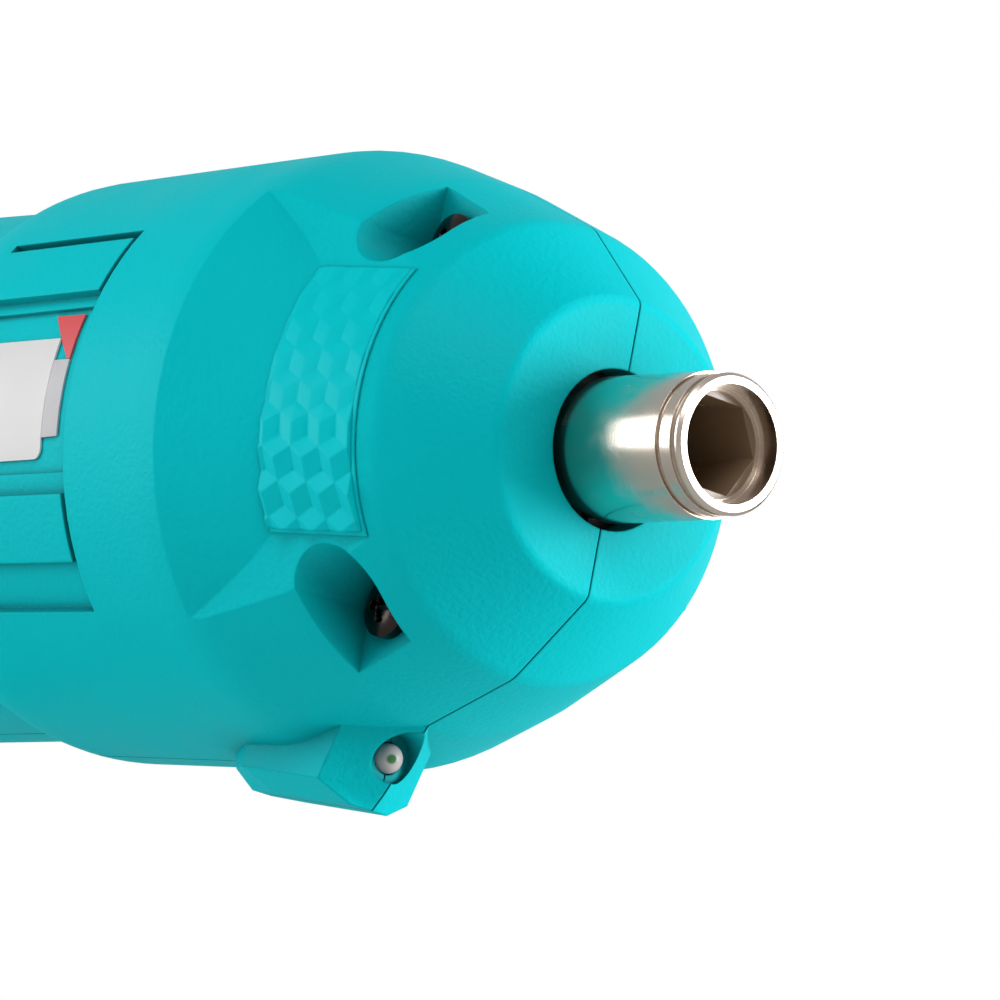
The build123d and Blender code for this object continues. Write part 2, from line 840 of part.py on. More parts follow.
for number, angle in enumerate(orbit_angles, start=1):
    write(planet(planet1_front, angle), f"stage1_planet_{number}")
    write(planet(planet2_front, angle), f"stage2_planet_{number}")

with BuildPart() as output_carrier:
    with BuildSketch(Plane.YZ.offset(output_front)):
        Circle(carrier_radius)
        RegularPolygon(tail_across_flats / 2, 6, major_radius=False, mode=Mode.SUBTRACT)
    extrude(amount=-output_plate)
    with BuildSketch(Plane.YZ.offset(output_rear)):
        with PolarLocations(orbit_radius, planet_count):
            Circle(planet_pin_radius)
    extrude(amount=planet2_rear - output_rear)
write(output_carrier, "output_carrier")

with BuildPart() as stage1_carrier:
    with BuildSketch(Plane.YZ.offset(stage_front)):
        Circle(carrier_radius)
    extrude(amount=-stage_plate)
    with BuildSketch(Plane.YZ.offset(stage_rear)):
        with PolarLocations(orbit_radius, planet_count):
            Circle(planet_pin_radius)
    extrude(amount=planet1_rear - stage_rear)
    # Sun gear of the second stage, in one piece with the plate
    with BuildSketch(Plane.YZ.offset(stage_front)):
        with BuildLine():
            Polyline(*outer_gear(sun_teeth), close=True)
        make_face()
    extrude(amount=planet2_front - stage_front)
write(stage1_carrier, "stage1_carrier")

# Motor
with BuildPart() as motor_plate:
    with BuildSketch(Plane.YZ.offset(plate_front)):
        Circle(case_radius)
        Circle(bearing_boss_radius + seat_gap, mode=Mode.SUBTRACT)
        with Locations((0, motor_screw_offset), (0, -motor_screw_offset)):
            Circle(motor_screw_radius + seat_gap, mode=Mode.SUBTRACT)
    extrude(amount=-motor_plate_thickness)
write(motor_plate, "motor_plate")

with BuildPart() as motor_plate_screws:
    with BuildSketch(Plane.YZ.offset(plate_front)):
        with Locations((0, motor_screw_offset), (0, -motor_screw_offset)):
            Circle(motor_screw_radius)
    extrude(amount=-motor_plate_thickness - can_wall)
write(motor_plate_screws, "motor_plate_screws")

can_rear = motor_rear + end_cap_length
can_bore = motor_radius - can_wall
with BuildPart() as motor_can:
    with BuildSketch(side_plane(0)):
        with BuildLine():
            Polyline(
                (motor_front + bearing_boss_length, shaft_radius + running_fit),
                (motor_front + bearing_boss_length, bearing_boss_radius),
                (motor_front, bearing_boss_radius),
                (motor_front, motor_radius),
                (can_rear, motor_radius),
                (can_rear, can_bore),
                (motor_front - can_wall, can_bore),
                (motor_front - can_wall, shaft_radius + running_fit),
                close=True,
            )
        make_face()
    revolve(axis=Axis.X)
    with BuildSketch(Plane.YZ.offset(motor_front)):
        with Locations((0, motor_screw_offset), (0, -motor_screw_offset)):
            Circle(motor_screw_radius)
    extrude(amount=-can_wall, mode=Mode.SUBTRACT)
write(motor_can, "motor_can")

core_radius = can_bore - magnet_thickness - magnet_air_gap
winding_front = motor_front - can_wall - 2 * end_float - bearing_boss_length
core_front = winding_front - winding_overhang
core_rear = core_front - core_length
winding_rear = core_rear - winding_overhang
commutator_front = winding_rear - end_float
commutator_rear = commutator_front - commutator_length

with BuildPart() as motor_magnets:
    # Two arcs held inside the can, left and right of the armature
    with BuildSketch(Plane.YZ.offset(winding_front)):
        Circle(can_bore)
        Circle(can_bore - magnet_thickness, mode=Mode.SUBTRACT)
        opening = 180 - magnet_span
        for side in (1, -1):
            with BuildLine():
                half = radians(opening / 2)
                Polyline(
                    (0, 0),
                    (side * far * sin(-half), side * far * cos(half)),
                    (side * far * sin(half), side * far * cos(half)),
                    close=True,
                )
            make_face(mode=Mode.SUBTRACT)
    extrude(amount=winding_rear - winding_front)
write(motor_magnets, "motor_magnets")

with BuildPart() as armature_core:
    with BuildSketch(Plane.YZ.offset(core_front)):
        Circle(core_radius)
        Circle(core_radius - pole_shoe, mode=Mode.SUBTRACT)
        with PolarLocations(core_radius, pole_count, start_angle=180 / pole_count):
            Rectangle(3 * pole_shoe, coil_spacing, mode=Mode.SUBTRACT)
        with PolarLocations((core_radius - pole_shoe / 2) / 2, pole_count):
            Rectangle(core_radius - pole_shoe / 2, pole_stem)
        Circle(hub_radius)
        Circle(shaft_radius, mode=Mode.SUBTRACT)
    extrude(amount=-core_length)
write(armature_core, "armature_core")

with BuildPart() as armature_windings:
    # One coil round each pole's stem, its ends standing out before and behind the core
    with BuildSketch(Plane.YZ.offset(winding_front)):
        Circle(core_radius - pole_shoe - seat_gap)
        Circle(hub_radius + seat_gap, mode=Mode.SUBTRACT)
        with PolarLocations(core_radius / 2, pole_count, start_angle=180 / pole_count):
            Rectangle(core_radius, coil_spacing, mode=Mode.SUBTRACT)
    extrude(amount=winding_rear - winding_front)
    with BuildSketch(Plane.YZ.offset(core_front)):
        with PolarLocations(core_radius / 2, pole_count):
            Rectangle(core_radius, pole_stem)
    extrude(amount=-core_length, mode=Mode.SUBTRACT)
write(armature_windings, "armature_windings")

with BuildPart() as commutator:
    with BuildSketch(Plane.YZ.offset(commutator_front)):
        Circle(commutator_radius)
        Circle(shaft_radius, mode=Mode.SUBTRACT)
    extrude(amount=-commutator_length)
write(commutator, "commutator")

shaft_front = planet1_front - seat_gap
with BuildPart() as motor_shaft:
    with BuildSketch(Plane.YZ.offset(shaft_front)):
        Circle(shaft_radius)
    extrude(amount=motor_rear - end_float - shaft_front)
write(motor_shaft, "motor_shaft")

with BuildPart() as motor_pinion:
    with BuildSketch(Plane.YZ.offset(planet1_front)):
        with BuildLine():
            Polyline(*outer_gear(sun_teeth), close=True)
        make_face()
        Circle(shaft_radius, mode=Mode.SUBTRACT)
    extrude(amount=-planet_face)
write(motor_pinion, "motor_pinion")

brush_tip = commutator_radius + running_fit
with BuildPart() as motor_end_cap:
    with BuildSketch(Plane.YZ.offset(can_rear)):
        Circle(motor_radius)
        Circle(shaft_radius + running_fit, mode=Mode.SUBTRACT)
    extrude(amount=-end_cap_length)
    with BuildSketch(Plane.YZ.offset(motor_rear)):
        Circle(bearing_boss_radius)
        Circle(shaft_radius + running_fit, mode=Mode.SUBTRACT)
    extrude(amount=-bearing_boss_length)
    # Posts that hold the two brushes against the commutator
    with BuildSketch(Plane.YZ.offset(can_rear)):
        post_centre = brush_tip + brush_height + brush_post / 2
        with Locations((0, post_centre), (0, -post_centre)):
            Rectangle(2 * brush_width, brush_post)
    extrude(amount=commutator_front - can_rear - end_float)
    with BuildSketch(Plane.YZ.offset(motor_rear)):
        with Locations((terminal_offset, 0), (-terminal_offset, 0)):
            Rectangle(terminal_thickness, terminal_width)
    extrude(amount=terminal_length / 2, mode=Mode.SUBTRACT)
write(motor_end_cap, "motor_end_cap")

with BuildPart() as motor_brushes:
    with BuildSketch(Plane.YZ.offset(commutator_front - 2 * end_float)):
        brush_centre = brush_tip + brush_height / 2
        with Locations((0, brush_centre), (0, -brush_centre)):
            Rectangle(brush_width, brush_height)
    extrude(amount=-commutator_length + 4 * end_float)
write(motor_brushes, "motor_brushes")

with BuildPart() as motor_terminals:
    with BuildSketch(Plane.YZ.offset(motor_rear + terminal_length / 2)):
        with Locations((terminal_offset, 0), (-terminal_offset, 0)):
            Rectangle(terminal_thickness, terminal_width)
    extrude(amount=-terminal_length * 3 / 2)
write(motor_terminals, "motor_terminals")

# Work light
with BuildPart() as led_lens:
    with BuildSketch(side_plane(0)):
        with BuildLine():
            dome_start = (led_front_x, led_z)
            bend = (led_front_x - led_radius * (1 - cos(pi / 4)), led_z + led_radius * sin(pi / 4))
            ThreePointArc(dome_start, bend, (led_front_x - led_radius, led_z + led_radius))
            Polyline(
                (led_front_x - led_radius, led_z + led_radius),
                (led_board_front + led_flange_length, led_z + led_radius),
                (led_board_front + led_flange_length, led_z + led_flange_radius),
                (led_board_front, led_z + led_flange_radius),
                (led_board_front, led_z),
                dome_start,
            )
        make_face()
    revolve(axis=Axis((0, 0, led_z), (1, 0, 0)))
write(led_lens, "led_lens")

with BuildPart() as led_board:
    with BuildSketch(Plane.YZ.offset(led_board_front)):
        with Locations((0, led_z)):
            Rectangle(led_board_width, led_board_height)
    extrude(amount=-led_board_thickness)
write(led_board, "led_board")

# Pivot pin and fold lock button
with BuildPart() as pivot_pin:
    with BuildSketch(side_plane(0)):
        with Locations((pivot_x, 0)):
            Circle(pin_radius)
    extrude(amount=pin_half_length, both=True)
write(pivot_pin, "pivot_pin")

lock_inner = lock_radius - lock_skirt_wall
with BuildPart() as fold_lock_button:
    with BuildSketch(side_plane(-lock_face_y)):
        with Locations((pivot_x, 0)):
            Circle(lock_radius)
    extrude(amount=-lock_cap - lock_skirt_length)
    chamfer(fold_lock_button.edges().group_by(Axis.Y)[0], lock_cap / 5)
    with BuildSketch(side_plane(-lock_face_y + lock_cap)):
        with Locations((pivot_x, 0)):
            Circle(lock_inner)
    extrude(amount=-lock_skirt_length, mode=Mode.SUBTRACT)
write(fold_lock_button, "fold_lock_button")

with BuildPart() as lock_spring:
    with BuildSketch(side_plane(-lock_bore_floor - seat_gap)):
        with Locations((pivot_x, 0)):
            Circle(lock_inner - seat_gap)
            Circle(lock_inner - seat_gap - lock_spring_wall, mode=Mode.SUBTRACT)
    extrude(amount=lock_face_y - lock_cap - lock_bore_floor - 2 * seat_gap)
write(lock_spring, "lock_spring")

# Handle, drawn in its own frame: depth forward, drop down its axis from the pivot
handle_side = Plane(origin=pivot, x_dir=handle_forward, z_dir=(0, 1, 0))
handle_axis = Axis(pivot, handle_down)


def handle_section(drop):
    """Plane across the handle at this drop, its first axis pointing forward."""
    return Plane(origin=pivot + handle_down * drop, x_dir=handle_forward, z_dir=handle_down)


def handle_form(top, bottom, inset):
    """The handle's outer form between two drops, or the same form set in by a wall."""
    drops = [top + (bottom - top) * share / 4 for share in range(5)]
    with BuildPart() as form:
        for drop in drops:
            waist = sin(pi * drop / handle_length)
            with BuildSketch(handle_section(drop)):
                with Locations((-handle_lean * waist, 0)):
                    Ellipse(
                        handle_half_depth - handle_waist_depth * waist - inset,
                        handle_half_width - handle_waist_width * waist - inset,
                    )
        loft()
    return form.part


def handle_box(depth, drop, half_width, depth_size, drop_size):
    """A block through the handle, centred at this depth and drop, both halves wide."""
    with BuildPart() as block:
        with BuildSketch(handle_side):
            with Locations((depth, drop)):
                Rectangle(depth_size, drop_size)
        extrude(amount=half_width, both=True)
    return block.part


trigger_top = trigger_drop - trigger_height / 2
trigger_foot = trigger_drop + trigger_height / 2
cavity_bottom = handle_length - handle_wall
boss_front = cell_depth + cell_radius + 4 * seat_gap + boss_radius
boss_rear = cell_depth - cell_radius - 4 * seat_gap - boss_radius
handle_screw_places = [
    (-selector_depth - boss_radius, selector_drop),
    (boss_front, cell_top + boss_radius),
    (boss_front, cell_foot - boss_radius),
    (boss_rear, cell_foot - boss_radius),
]

with BuildPart() as handle_cavity:
    add(handle_form(cavity_top, cavity_bottom, handle_wall))
    # Shelves above and below the switch, and one under the charging board
    switch_centre = switch_front - switch_depth / 2
    for drop in (
        trigger_drop - switch_height / 2 - rib_thickness / 2,
        trigger_drop + switch_height / 2 + rib_thickness / 2,
    ):
        add(handle_box(switch_front - far / 2, drop, far, far, rib_thickness), mode=Mode.SUBTRACT)
    with BuildSketch(handle_side):
        for depth, drop in handle_screw_places:
            with Locations((depth, drop)):
                Circle(boss_radius)
    extrude(amount=far, both=True, mode=Mode.SUBTRACT)

outer_form = handle_form(handle_top, handle_length, 0)

with BuildPart() as grip_zone:
    grip_middle = (grip_top + grip_bottom) / 2
    add(handle_box(grip_front - far / 2, grip_middle, far, far, grip_bottom - grip_top))
    add(handle_form(handle_top, handle_length, grip_thickness), mode=Mode.SUBTRACT)

with BuildPart() as grip_overmold:
    add(outer_form)
    add(grip_zone.part, mode=Mode.INTERSECT)
write(grip_overmold, "grip_overmold")

with BuildPart() as handle_blank:
    add(outer_form)
    fillet(handle_blank.edges().group_by(handle_axis)[-1], handle_foot_fillet)
    add(grip_zone.part, mode=Mode.SUBTRACT)
    # Shoulder that turns round the ears, and the flat that meets the head's underside
    with BuildSketch(handle_side):
        Circle(ear_radius + shoulder_gap)
    extrude(amount=far, both=True, mode=Mode.SUBTRACT)
    with BuildSketch(side_plane(0)):
        with Locations((pivot_x, -rear_radius - head_underside_gap)):
            Rectangle(far, far, align=(Align.MIN, Align.MIN))
    extrude(amount=far, both=True, mode=Mode.SUBTRACT)
    # Tongue and neck between the head's ears
    with BuildSketch(handle_side):
        Circle(tongue_radius)
        Rectangle(2 * neck_half_width, cavity_top, align=(Align.CENTER, Align.MIN))
    extrude(amount=tongue_half_width, both=True)
    with BuildSketch(handle_side):
        Circle(pin_radius + running_fit)
    extrude(amount=tongue_half_width, both=True, mode=Mode.SUBTRACT)
    add(handle_cavity.part, mode=Mode.SUBTRACT)
    # Openings for the trigger and the direction selector
    with BuildSketch(handle_side):
        with Locations((0, trigger_drop)):
            Rectangle(far, trigger_height + 2 * slide_gap, align=(Align.MIN, Align.CENTER))
    extrude(amount=trigger_half_width + slide_gap, both=True, mode=Mode.SUBTRACT)
    with BuildSketch(handle_side):
        with Locations((selector_depth, selector_drop)):
            Circle(selector_radius + running_fit)
    extrude(amount=far, both=True, mode=Mode.SUBTRACT)
    # Charging port and charge light in the foot
    with BuildSketch(handle_section(cavity_bottom - handle_wall)):
        with Locations((cell_depth, 0)):
            Rectangle(2 * (socket_half_depth + port_margin), 2 * (socket_half_width + port_margin))
        with Locations((light_depth, 0)):
            Circle(light_radius + running_fit)
    extrude(amount=far, mode=Mode.SUBTRACT)

with BuildPart() as handle_shell_right:
    add(handle_blank.part)
    split(bisect_by=side_plane(-seam_gap / 2), keep=Keep.TOP)
    with BuildSketch(handle_side):
        for depth, drop in handle_screw_places:
            with Locations((depth, drop)):
                Circle(handle_screw_radius + seat_gap)
    extrude(amount=-handle_screw_floor, mode=Mode.SUBTRACT)
    with BuildSketch(handle_side.offset(-handle_screw_floor)):
        for depth, drop in handle_screw_places:
            with Locations((depth, drop)):
                Circle(handle_screw_head_radius + seat_gap)
    extrude(amount=-far, mode=Mode.SUBTRACT)
write(handle_shell_right, "handle_shell_right")

with BuildPart() as handle_shell_left:
    add(handle_blank.part)
    split(bisect_by=side_plane(seam_gap / 2), keep=Keep.BOTTOM)
    with BuildSketch(handle_side):
        for depth, drop in handle_screw_places:
            with Locations((depth, drop)):
                Circle(handle_screw_radius)
    extrude(amount=handle_screw_grip, mode=Mode.SUBTRACT)
write(handle_shell_left, "handle_shell_left")

with BuildPart() as handle_screws:
    for depth, drop in handle_screw_places:
        with BuildSketch(handle_side.offset(-handle_screw_floor)):
            with Locations((depth, drop)):
                Circle(handle_screw_head_radius)
        extrude(amount=-handle_screw_head_height)
        with BuildSketch(handle_side.offset(-handle_screw_floor)):
            with Locations((depth, drop)):
                Circle(handle_screw_radius)
        extrude(amount=handle_screw_floor + handle_screw_grip - seat_gap)
write(handle_screws, "handle_screws")

# Trigger, switch and direction selector
stem_end = trigger_flange_front - trigger_flange - trigger_stem_length
trigger_axis = Plane(origin=pivot + handle_down * trigger_drop, z_dir=handle_forward)
with BuildPart() as trigger:
    with BuildSketch(handle_side):
        with BuildLine():
            ThreePointArc(
                (trigger_reach - trigger_hollow / 2, trigger_top),
                (trigger_reach - trigger_hollow, trigger_drop),
                (trigger_reach, trigger_foot),
            )
            Polyline(
                (trigger_reach, trigger_foot),
                (trigger_flange_front, trigger_foot),
                (trigger_flange_front, trigger_top),
                (trigger_reach - trigger_hollow / 2, trigger_top),
            )
        make_face()
    extrude(amount=trigger_half_width, both=True)
    fillet(trigger.edges().filter_by(Axis.Y).sort_by(Axis(pivot, handle_forward))[-2:], trigger_round)
    with BuildSketch(handle_side):
        with Locations((trigger_flange_front, trigger_drop)):
            Rectangle(
                trigger_flange,
                trigger_height + 2 * trigger_flange_margin,
                align=(Align.MAX, Align.CENTER),
            )
    extrude(amount=trigger_half_width + trigger_flange_margin, both=True)
    with BuildSketch(trigger_axis.offset(stem_end)):
        Circle(trigger_stem_radius)
    extrude(amount=trigger_stem_length)
write(trigger, "trigger")

with BuildPart() as switch_module:
    with BuildSketch(handle_side):
        with Locations((switch_front, trigger_drop)):
            Rectangle(switch_depth, switch_height, align=(Align.MAX, Align.CENTER))
    extrude(amount=switch_half_width, both=True)
    with BuildSketch(trigger_axis.offset(stem_end - trigger_travel - slide_gap)):
        Circle(trigger_stem_radius + running_fit)
    extrude(amount=far, mode=Mode.SUBTRACT)
write(switch_module, "switch_module")

with BuildPart() as trigger_spring:
    with BuildSketch(trigger_axis.offset(switch_front + seat_gap)):
        Circle(trigger_stem_radius + seat_gap + spring_wall)
        Circle(trigger_stem_radius + seat_gap, mode=Mode.SUBTRACT)
    extrude(amount=trigger_flange_front - trigger_flange - switch_front - 2 * seat_gap)
write(trigger_spring, "trigger_spring")

with BuildPart() as direction_selector:
    waist = sin(pi * selector_drop / handle_length)
    shell_half = handle_half_width - handle_waist_width * waist
    selector_half = shell_half + selector_travel + selector_proud
    with BuildSketch(handle_side):
        with Locations((selector_depth, selector_drop)):
            Circle(selector_radius)
    extrude(amount=selector_half, both=True)
    chamfer(direction_selector.edges().filter_by(GeomType.CIRCLE), seat_gap * 4)
write(direction_selector, "direction_selector")

# Battery, charging board, socket and light
with BuildPart() as battery_cell:
    with BuildSketch(handle_section(cell_top)):
        with Locations((cell_depth, 0)):
            Circle(cell_radius)
    extrude(amount=cell_length)
write(battery_cell, "battery_cell")

with BuildPart() as battery_tabs:
    for drop in (cell_top - tab_thickness, cell_foot):
        with BuildSketch(handle_section(drop)):
            with Locations((cell_depth, 0)):
                Rectangle(2 * (cell_radius - tab_margin), 2 * tab_half_width)
        extrude(amount=tab_thickness)
write(battery_tabs, "battery_tabs")

with BuildPart() as charge_board:
    with BuildSketch(handle_section(board_drop)):
        with Locations((cell_depth, 0)):
            Rectangle(2 * board_half_depth, 2 * board_half_width)
    extrude(amount=board_thickness)
write(charge_board, "charge_board")

with BuildPart() as charge_socket:
    with BuildSketch(handle_section(board_foot)):
        with Locations((cell_depth, 0)):
            Rectangle(2 * socket_half_depth, 2 * socket_half_width)
    extrude(amount=socket_length)
    with BuildSketch(handle_section(board_foot + socket_length)):
        with Locations((cell_depth, 0)):
            Rectangle(2 * (socket_half_depth - socket_wall), 2 * (socket_half_width - socket_wall))
    extrude(amount=socket_base - socket_length, mode=Mode.SUBTRACT)
write(charge_socket, "charge_socket")

with BuildPart() as charge_light:
    with BuildSketch(handle_section(board_foot)):
        with Locations((light_depth, 0)):
            Circle(light_radius)
    extrude(amount=handle_length - board_foot - seat_gap)
write(charge_light, "charge_light")
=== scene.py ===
import json
import logging
import math
from dataclasses import dataclass
from enum import Enum
from typing import Any, Callable, Iterable

import bmesh
import bpy
from mathutils import Matrix, Vector


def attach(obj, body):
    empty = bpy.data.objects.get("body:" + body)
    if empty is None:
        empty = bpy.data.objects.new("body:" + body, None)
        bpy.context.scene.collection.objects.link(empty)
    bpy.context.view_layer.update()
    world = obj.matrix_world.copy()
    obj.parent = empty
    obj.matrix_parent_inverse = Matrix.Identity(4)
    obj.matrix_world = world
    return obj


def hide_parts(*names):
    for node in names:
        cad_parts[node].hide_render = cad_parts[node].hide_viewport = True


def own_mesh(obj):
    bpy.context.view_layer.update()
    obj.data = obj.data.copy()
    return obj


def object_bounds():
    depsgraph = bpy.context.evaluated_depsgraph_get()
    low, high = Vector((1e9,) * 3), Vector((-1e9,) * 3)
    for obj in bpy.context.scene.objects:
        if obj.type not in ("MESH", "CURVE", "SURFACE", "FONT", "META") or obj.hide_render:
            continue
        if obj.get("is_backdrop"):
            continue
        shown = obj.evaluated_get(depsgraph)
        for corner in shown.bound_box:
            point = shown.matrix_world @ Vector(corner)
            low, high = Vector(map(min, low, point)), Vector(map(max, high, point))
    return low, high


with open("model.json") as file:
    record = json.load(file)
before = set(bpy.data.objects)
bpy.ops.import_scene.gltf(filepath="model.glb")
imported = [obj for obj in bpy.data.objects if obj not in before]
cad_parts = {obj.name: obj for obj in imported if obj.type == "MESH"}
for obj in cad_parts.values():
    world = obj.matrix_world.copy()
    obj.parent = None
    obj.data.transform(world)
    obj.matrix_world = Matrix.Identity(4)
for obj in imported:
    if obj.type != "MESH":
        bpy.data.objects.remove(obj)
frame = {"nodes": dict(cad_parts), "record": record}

MM = 0.001  # one millimetre in Blender's metres
NOISE_LOW, NOISE_HIGH = 0.3, 0.7  # most of a noise's values lie between these
LOG = logging.getLogger("screwdriver")


def linear(code: str) -> tuple[float, float, float, float]:
    """Turns an sRGB hex colour into the linear colour that a shader wants.

    Args:
        code: six hex digits, such as "1A9FA8".

    Returns:
        Red, green, blue and an alpha of one.
    """
    channels = [int(code[i : i + 2], 16) / 255 for i in (0, 2, 4)]
    # The numbers are the sRGB standard's own
    red, green, blue = (
        c / 12.92 if c <= 0.04045 else ((c + 0.055) / 1.055) ** 2.4 for c in channels
    )
    return red, green, blue, 1.0


def node(
    tree: bpy.types.NodeTree, kind: str, inputs: dict[str | int, Any] | None = None, **settings: Any
) -> bpy.types.Node:
    """Adds a node with its settings, values and links.

    Args:
        tree: the node tree to add it to.
        kind: the node's type name.
        inputs: socket name or number to a value, or to an output socket that feeds it.
        **settings: properties of the node itself.

    Returns:
        The new node.
    """
    made = tree.nodes.new(kind)
    for name, value in settings.items():
        setattr(made, name, value)
    for socket, value in (inputs or {}).items():
        if isinstance(value, bpy.types.NodeSocket):
            tree.links.new(value, made.inputs[socket])
        else:
            made.inputs[socket].default_value = value
    return made


@dataclass(frozen=True)
class Canvas:
    """What a finish draws its pattern on: a material's tree, its shader and its coordinate."""

    tree: bpy.types.NodeTree
    shader: bpy.types.Node
    place: bpy.types.NodeSocket

    def feed(self, socket: str, value: bpy.types.NodeSocket) -> None:
        """Links an output to one of the shader's inputs."""
        self.tree.links.new(value, self.shader.inputs[socket])


@dataclass(frozen=True)
class Finish:
    """A surface finish: what the real material is and how its surface was made."""

    name: str
    colour: str
    roughness: float
    metallic: float = 0.0
    ior: float = 1.5
    coat: float = 0.0
    gloss: float = 0.5

    def build(self) -> bpy.types.Material:
        """Makes the material.

        Returns:
            The new material, its shader fed by this finish's own pattern.
        """
        material = bpy.data.materials.new(self.name)
        material.use_nodes = True
        tree = material.node_tree
        tree.nodes.clear()
        shader = node(
            tree,
            "ShaderNodeBsdfPrincipled",
            {
                "Base Color": linear(self.colour),
                "Roughness": self.roughness,
                "Metallic": self.metallic,
                "IOR": self.ior,
                "Coat Weight": self.coat,
                "Specular IOR Level": self.gloss,
            },
        )
        node(tree, "ShaderNodeOutputMaterial", {"Surface": shader.outputs[0]})
        place = node(tree, "ShaderNodeTexCoord").outputs["Object"]
        self.pattern(Canvas(tree, shader, place))
        material.diffuse_color = linear(self.colour)
        return material

    def pattern(self, on: Canvas) -> None:
        """Feeds the shader with the finish's grain. A plain finish has only a faint unevenness."""
        self.mottle(on, size_mm=4.0, spread=0.04)

    def mottle(self, on: Canvas, size_mm: float, spread: float) -> bpy.types.NodeSocket:
        """Varies the roughness in soft patches.

        Args:
            on: the material's canvas.
            size_mm: the size of a patch.
            spread: how far the roughness goes up and down.

        Returns:
            The noise that makes the patches.
        """
        waves = {"Vector": on.place, "Scale": 1 / (size_mm * MM), "Detail": 4.0}
        noise = node(on.tree, "ShaderNodeTexNoise", waves)
        span = node(
            on.tree,
            "ShaderNodeMapRange",
            {
                "Value": noise.outputs[0],
                "From Min": NOISE_LOW,
                "From Max": NOISE_HIGH,
                "To Min": self.roughness - spread,
                "To Max": self.roughness + spread,
            },
        )
        on.feed("Roughness", span.outputs[0])
        return noise.outputs[0]

    def grain(self, on: Canvas, size_mm: float, depth_mm: float, edge_mm: float) -> None:
        """Roughens the surface finely and softens its edges, as making and handling leave them.

        Args:
            on: the material's canvas.
            size_mm: the width of a grain.
            depth_mm: its depth.
            edge_mm: the radius that an edge shows.
        """
        edge = node(on.tree, "ShaderNodeBevel", {"Radius": edge_mm * MM}, samples=6)
        waves = {"Vector": on.place, "Scale": 1 / (size_mm * MM), "Detail": 2.0}
        noise = node(on.tree, "ShaderNodeTexNoise", waves)
        bump = node(
            on.tree,
            "ShaderNodeBump",
            {
                "Height": noise.outputs[0],
                "Distance": depth_mm * MM,
                "Strength": 1.0,
                "Normal": edge.outputs[0],
            },
        )
        on.feed("Normal", bump.outputs[0])

    def spot(
        self, on: Canvas, place: bpy.types.NodeSocket, colour: str, inner_mm: float, outer_mm: float
    ) -> bpy.types.NodeSocket:
        """Gives the surface another colour close to a line along X.

        Args:
            on: the material's canvas.
            place: the coordinate, whose Y and Z are zero on the line.
            colour: the colour near the line, as sRGB hex.
            inner_mm: the distance up to which it is pure.
            outer_mm: the distance at which it has ended.

        Returns:
            How far a point is outside the spot, from 0 to 1.
        """
        across = node(
            on.tree, "ShaderNodeVectorMath", {0: place, 1: (0.0, 1.0, 1.0)}, operation="MULTIPLY"
        )
        radius = node(on.tree, "ShaderNodeVectorMath", {0: across.outputs[0]}, operation="LENGTH")
        outside = node(
            on.tree,
            "ShaderNodeMapRange",
            {
                "Value": radius.outputs["Value"],
                "From Min": inner_mm * MM,
                "From Max": outer_mm * MM,
            },
        )
        ramp = node(on.tree, "ShaderNodeValToRGB", {"Fac": outside.outputs[0]})
        for stop, code in zip(ramp.color_ramp.elements, (colour, self.colour)):
            stop.color = linear(code)
        on.feed("Base Color", ramp.outputs[0])
        return outside.outputs[0]


@dataclass(frozen=True)
class MouldedPlastic(Finish):
    """ABS, nylon or rubber from a spark eroded mould: a fine even grain and a soft, broad shine."""

    # The real grain is about 0.1 mm wide; it is drawn coarser so that it shows in the picture
    grain_mm: float = 0.42
    grain_depth_mm: float = 0.05
    edge_mm: float = 0.25
    shade: float = 0.03  # how far the colour goes up and down
    painted_shade_reach_mm: float = 0.0  # reach of the painted shade: how deep a recess has to be before its colour is darkened as painted shade
    painted_shade_darkest: float = 0.3  # what painted shade leaves of the colour at a recess's bottom
    closed_share: float = 0.3  # of the sky, seen from the bottom
    open_share: float = 0.95  # of the sky, seen from a flat face

    def pattern(self, on: Canvas) -> None:
        """Adds the mould's grain, soft edges and a slight unevenness of the colour, and, where a
        reach is given, painted shade that darkens the colour in recesses.

        Args:
            on: the material's canvas.
        """
        patches = self.mottle(on, size_mm=7.0, spread=0.05)
        self.grain(on, self.grain_mm, self.grain_depth_mm, self.edge_mm)
        base = Vector(linear(self.colour)[:3])
        ramp = node(on.tree, "ShaderNodeValToRGB", {"Fac": patches})
        for stop, factor in zip(ramp.color_ramp.elements, (1 - self.shade, 1 + self.shade)):
            stop.color = (*(base * factor), 1.0)
        if not self.painted_shade_reach_mm:
            on.feed("Base Color", ramp.outputs[0])
            return
        # Painted shade: the share of open sky darkens the colour in recesses, creases and gaps,
        # where shade falls
        reach = {"Distance": self.painted_shade_reach_mm * MM}
        sky = node(on.tree, "ShaderNodeAmbientOcclusion", reach, samples=6)
        depth = node(
            on.tree,
            "ShaderNodeMapRange",
            {
                "Value": sky.outputs["AO"],
                "From Min": self.closed_share,
                "From Max": self.open_share,
                "To Min": self.painted_shade_darkest,
            },
        )
        lit = {0: ramp.outputs[0], "Scale": depth.outputs[0]}
        darker = node(on.tree, "ShaderNodeVectorMath", lit, operation="SCALE")
        on.feed("Base Color", darker.outputs[0])


@dataclass(frozen=True)
class BareMetal(Finish):
    """Steel, bronze or copper that was ground, blasted or plated: bright, with a fine sparkle."""

    grain_mm: float = 0.16
    grain_depth_mm: float = 0.006

    def pattern(self, on: Canvas) -> None:
        """Adds the blasted grain and patches that were polished by use."""
        self.mottle(on, size_mm=1.6, spread=0.06)
        self.grain(on, self.grain_mm, self.grain_depth_mm, edge_mm=0.08)


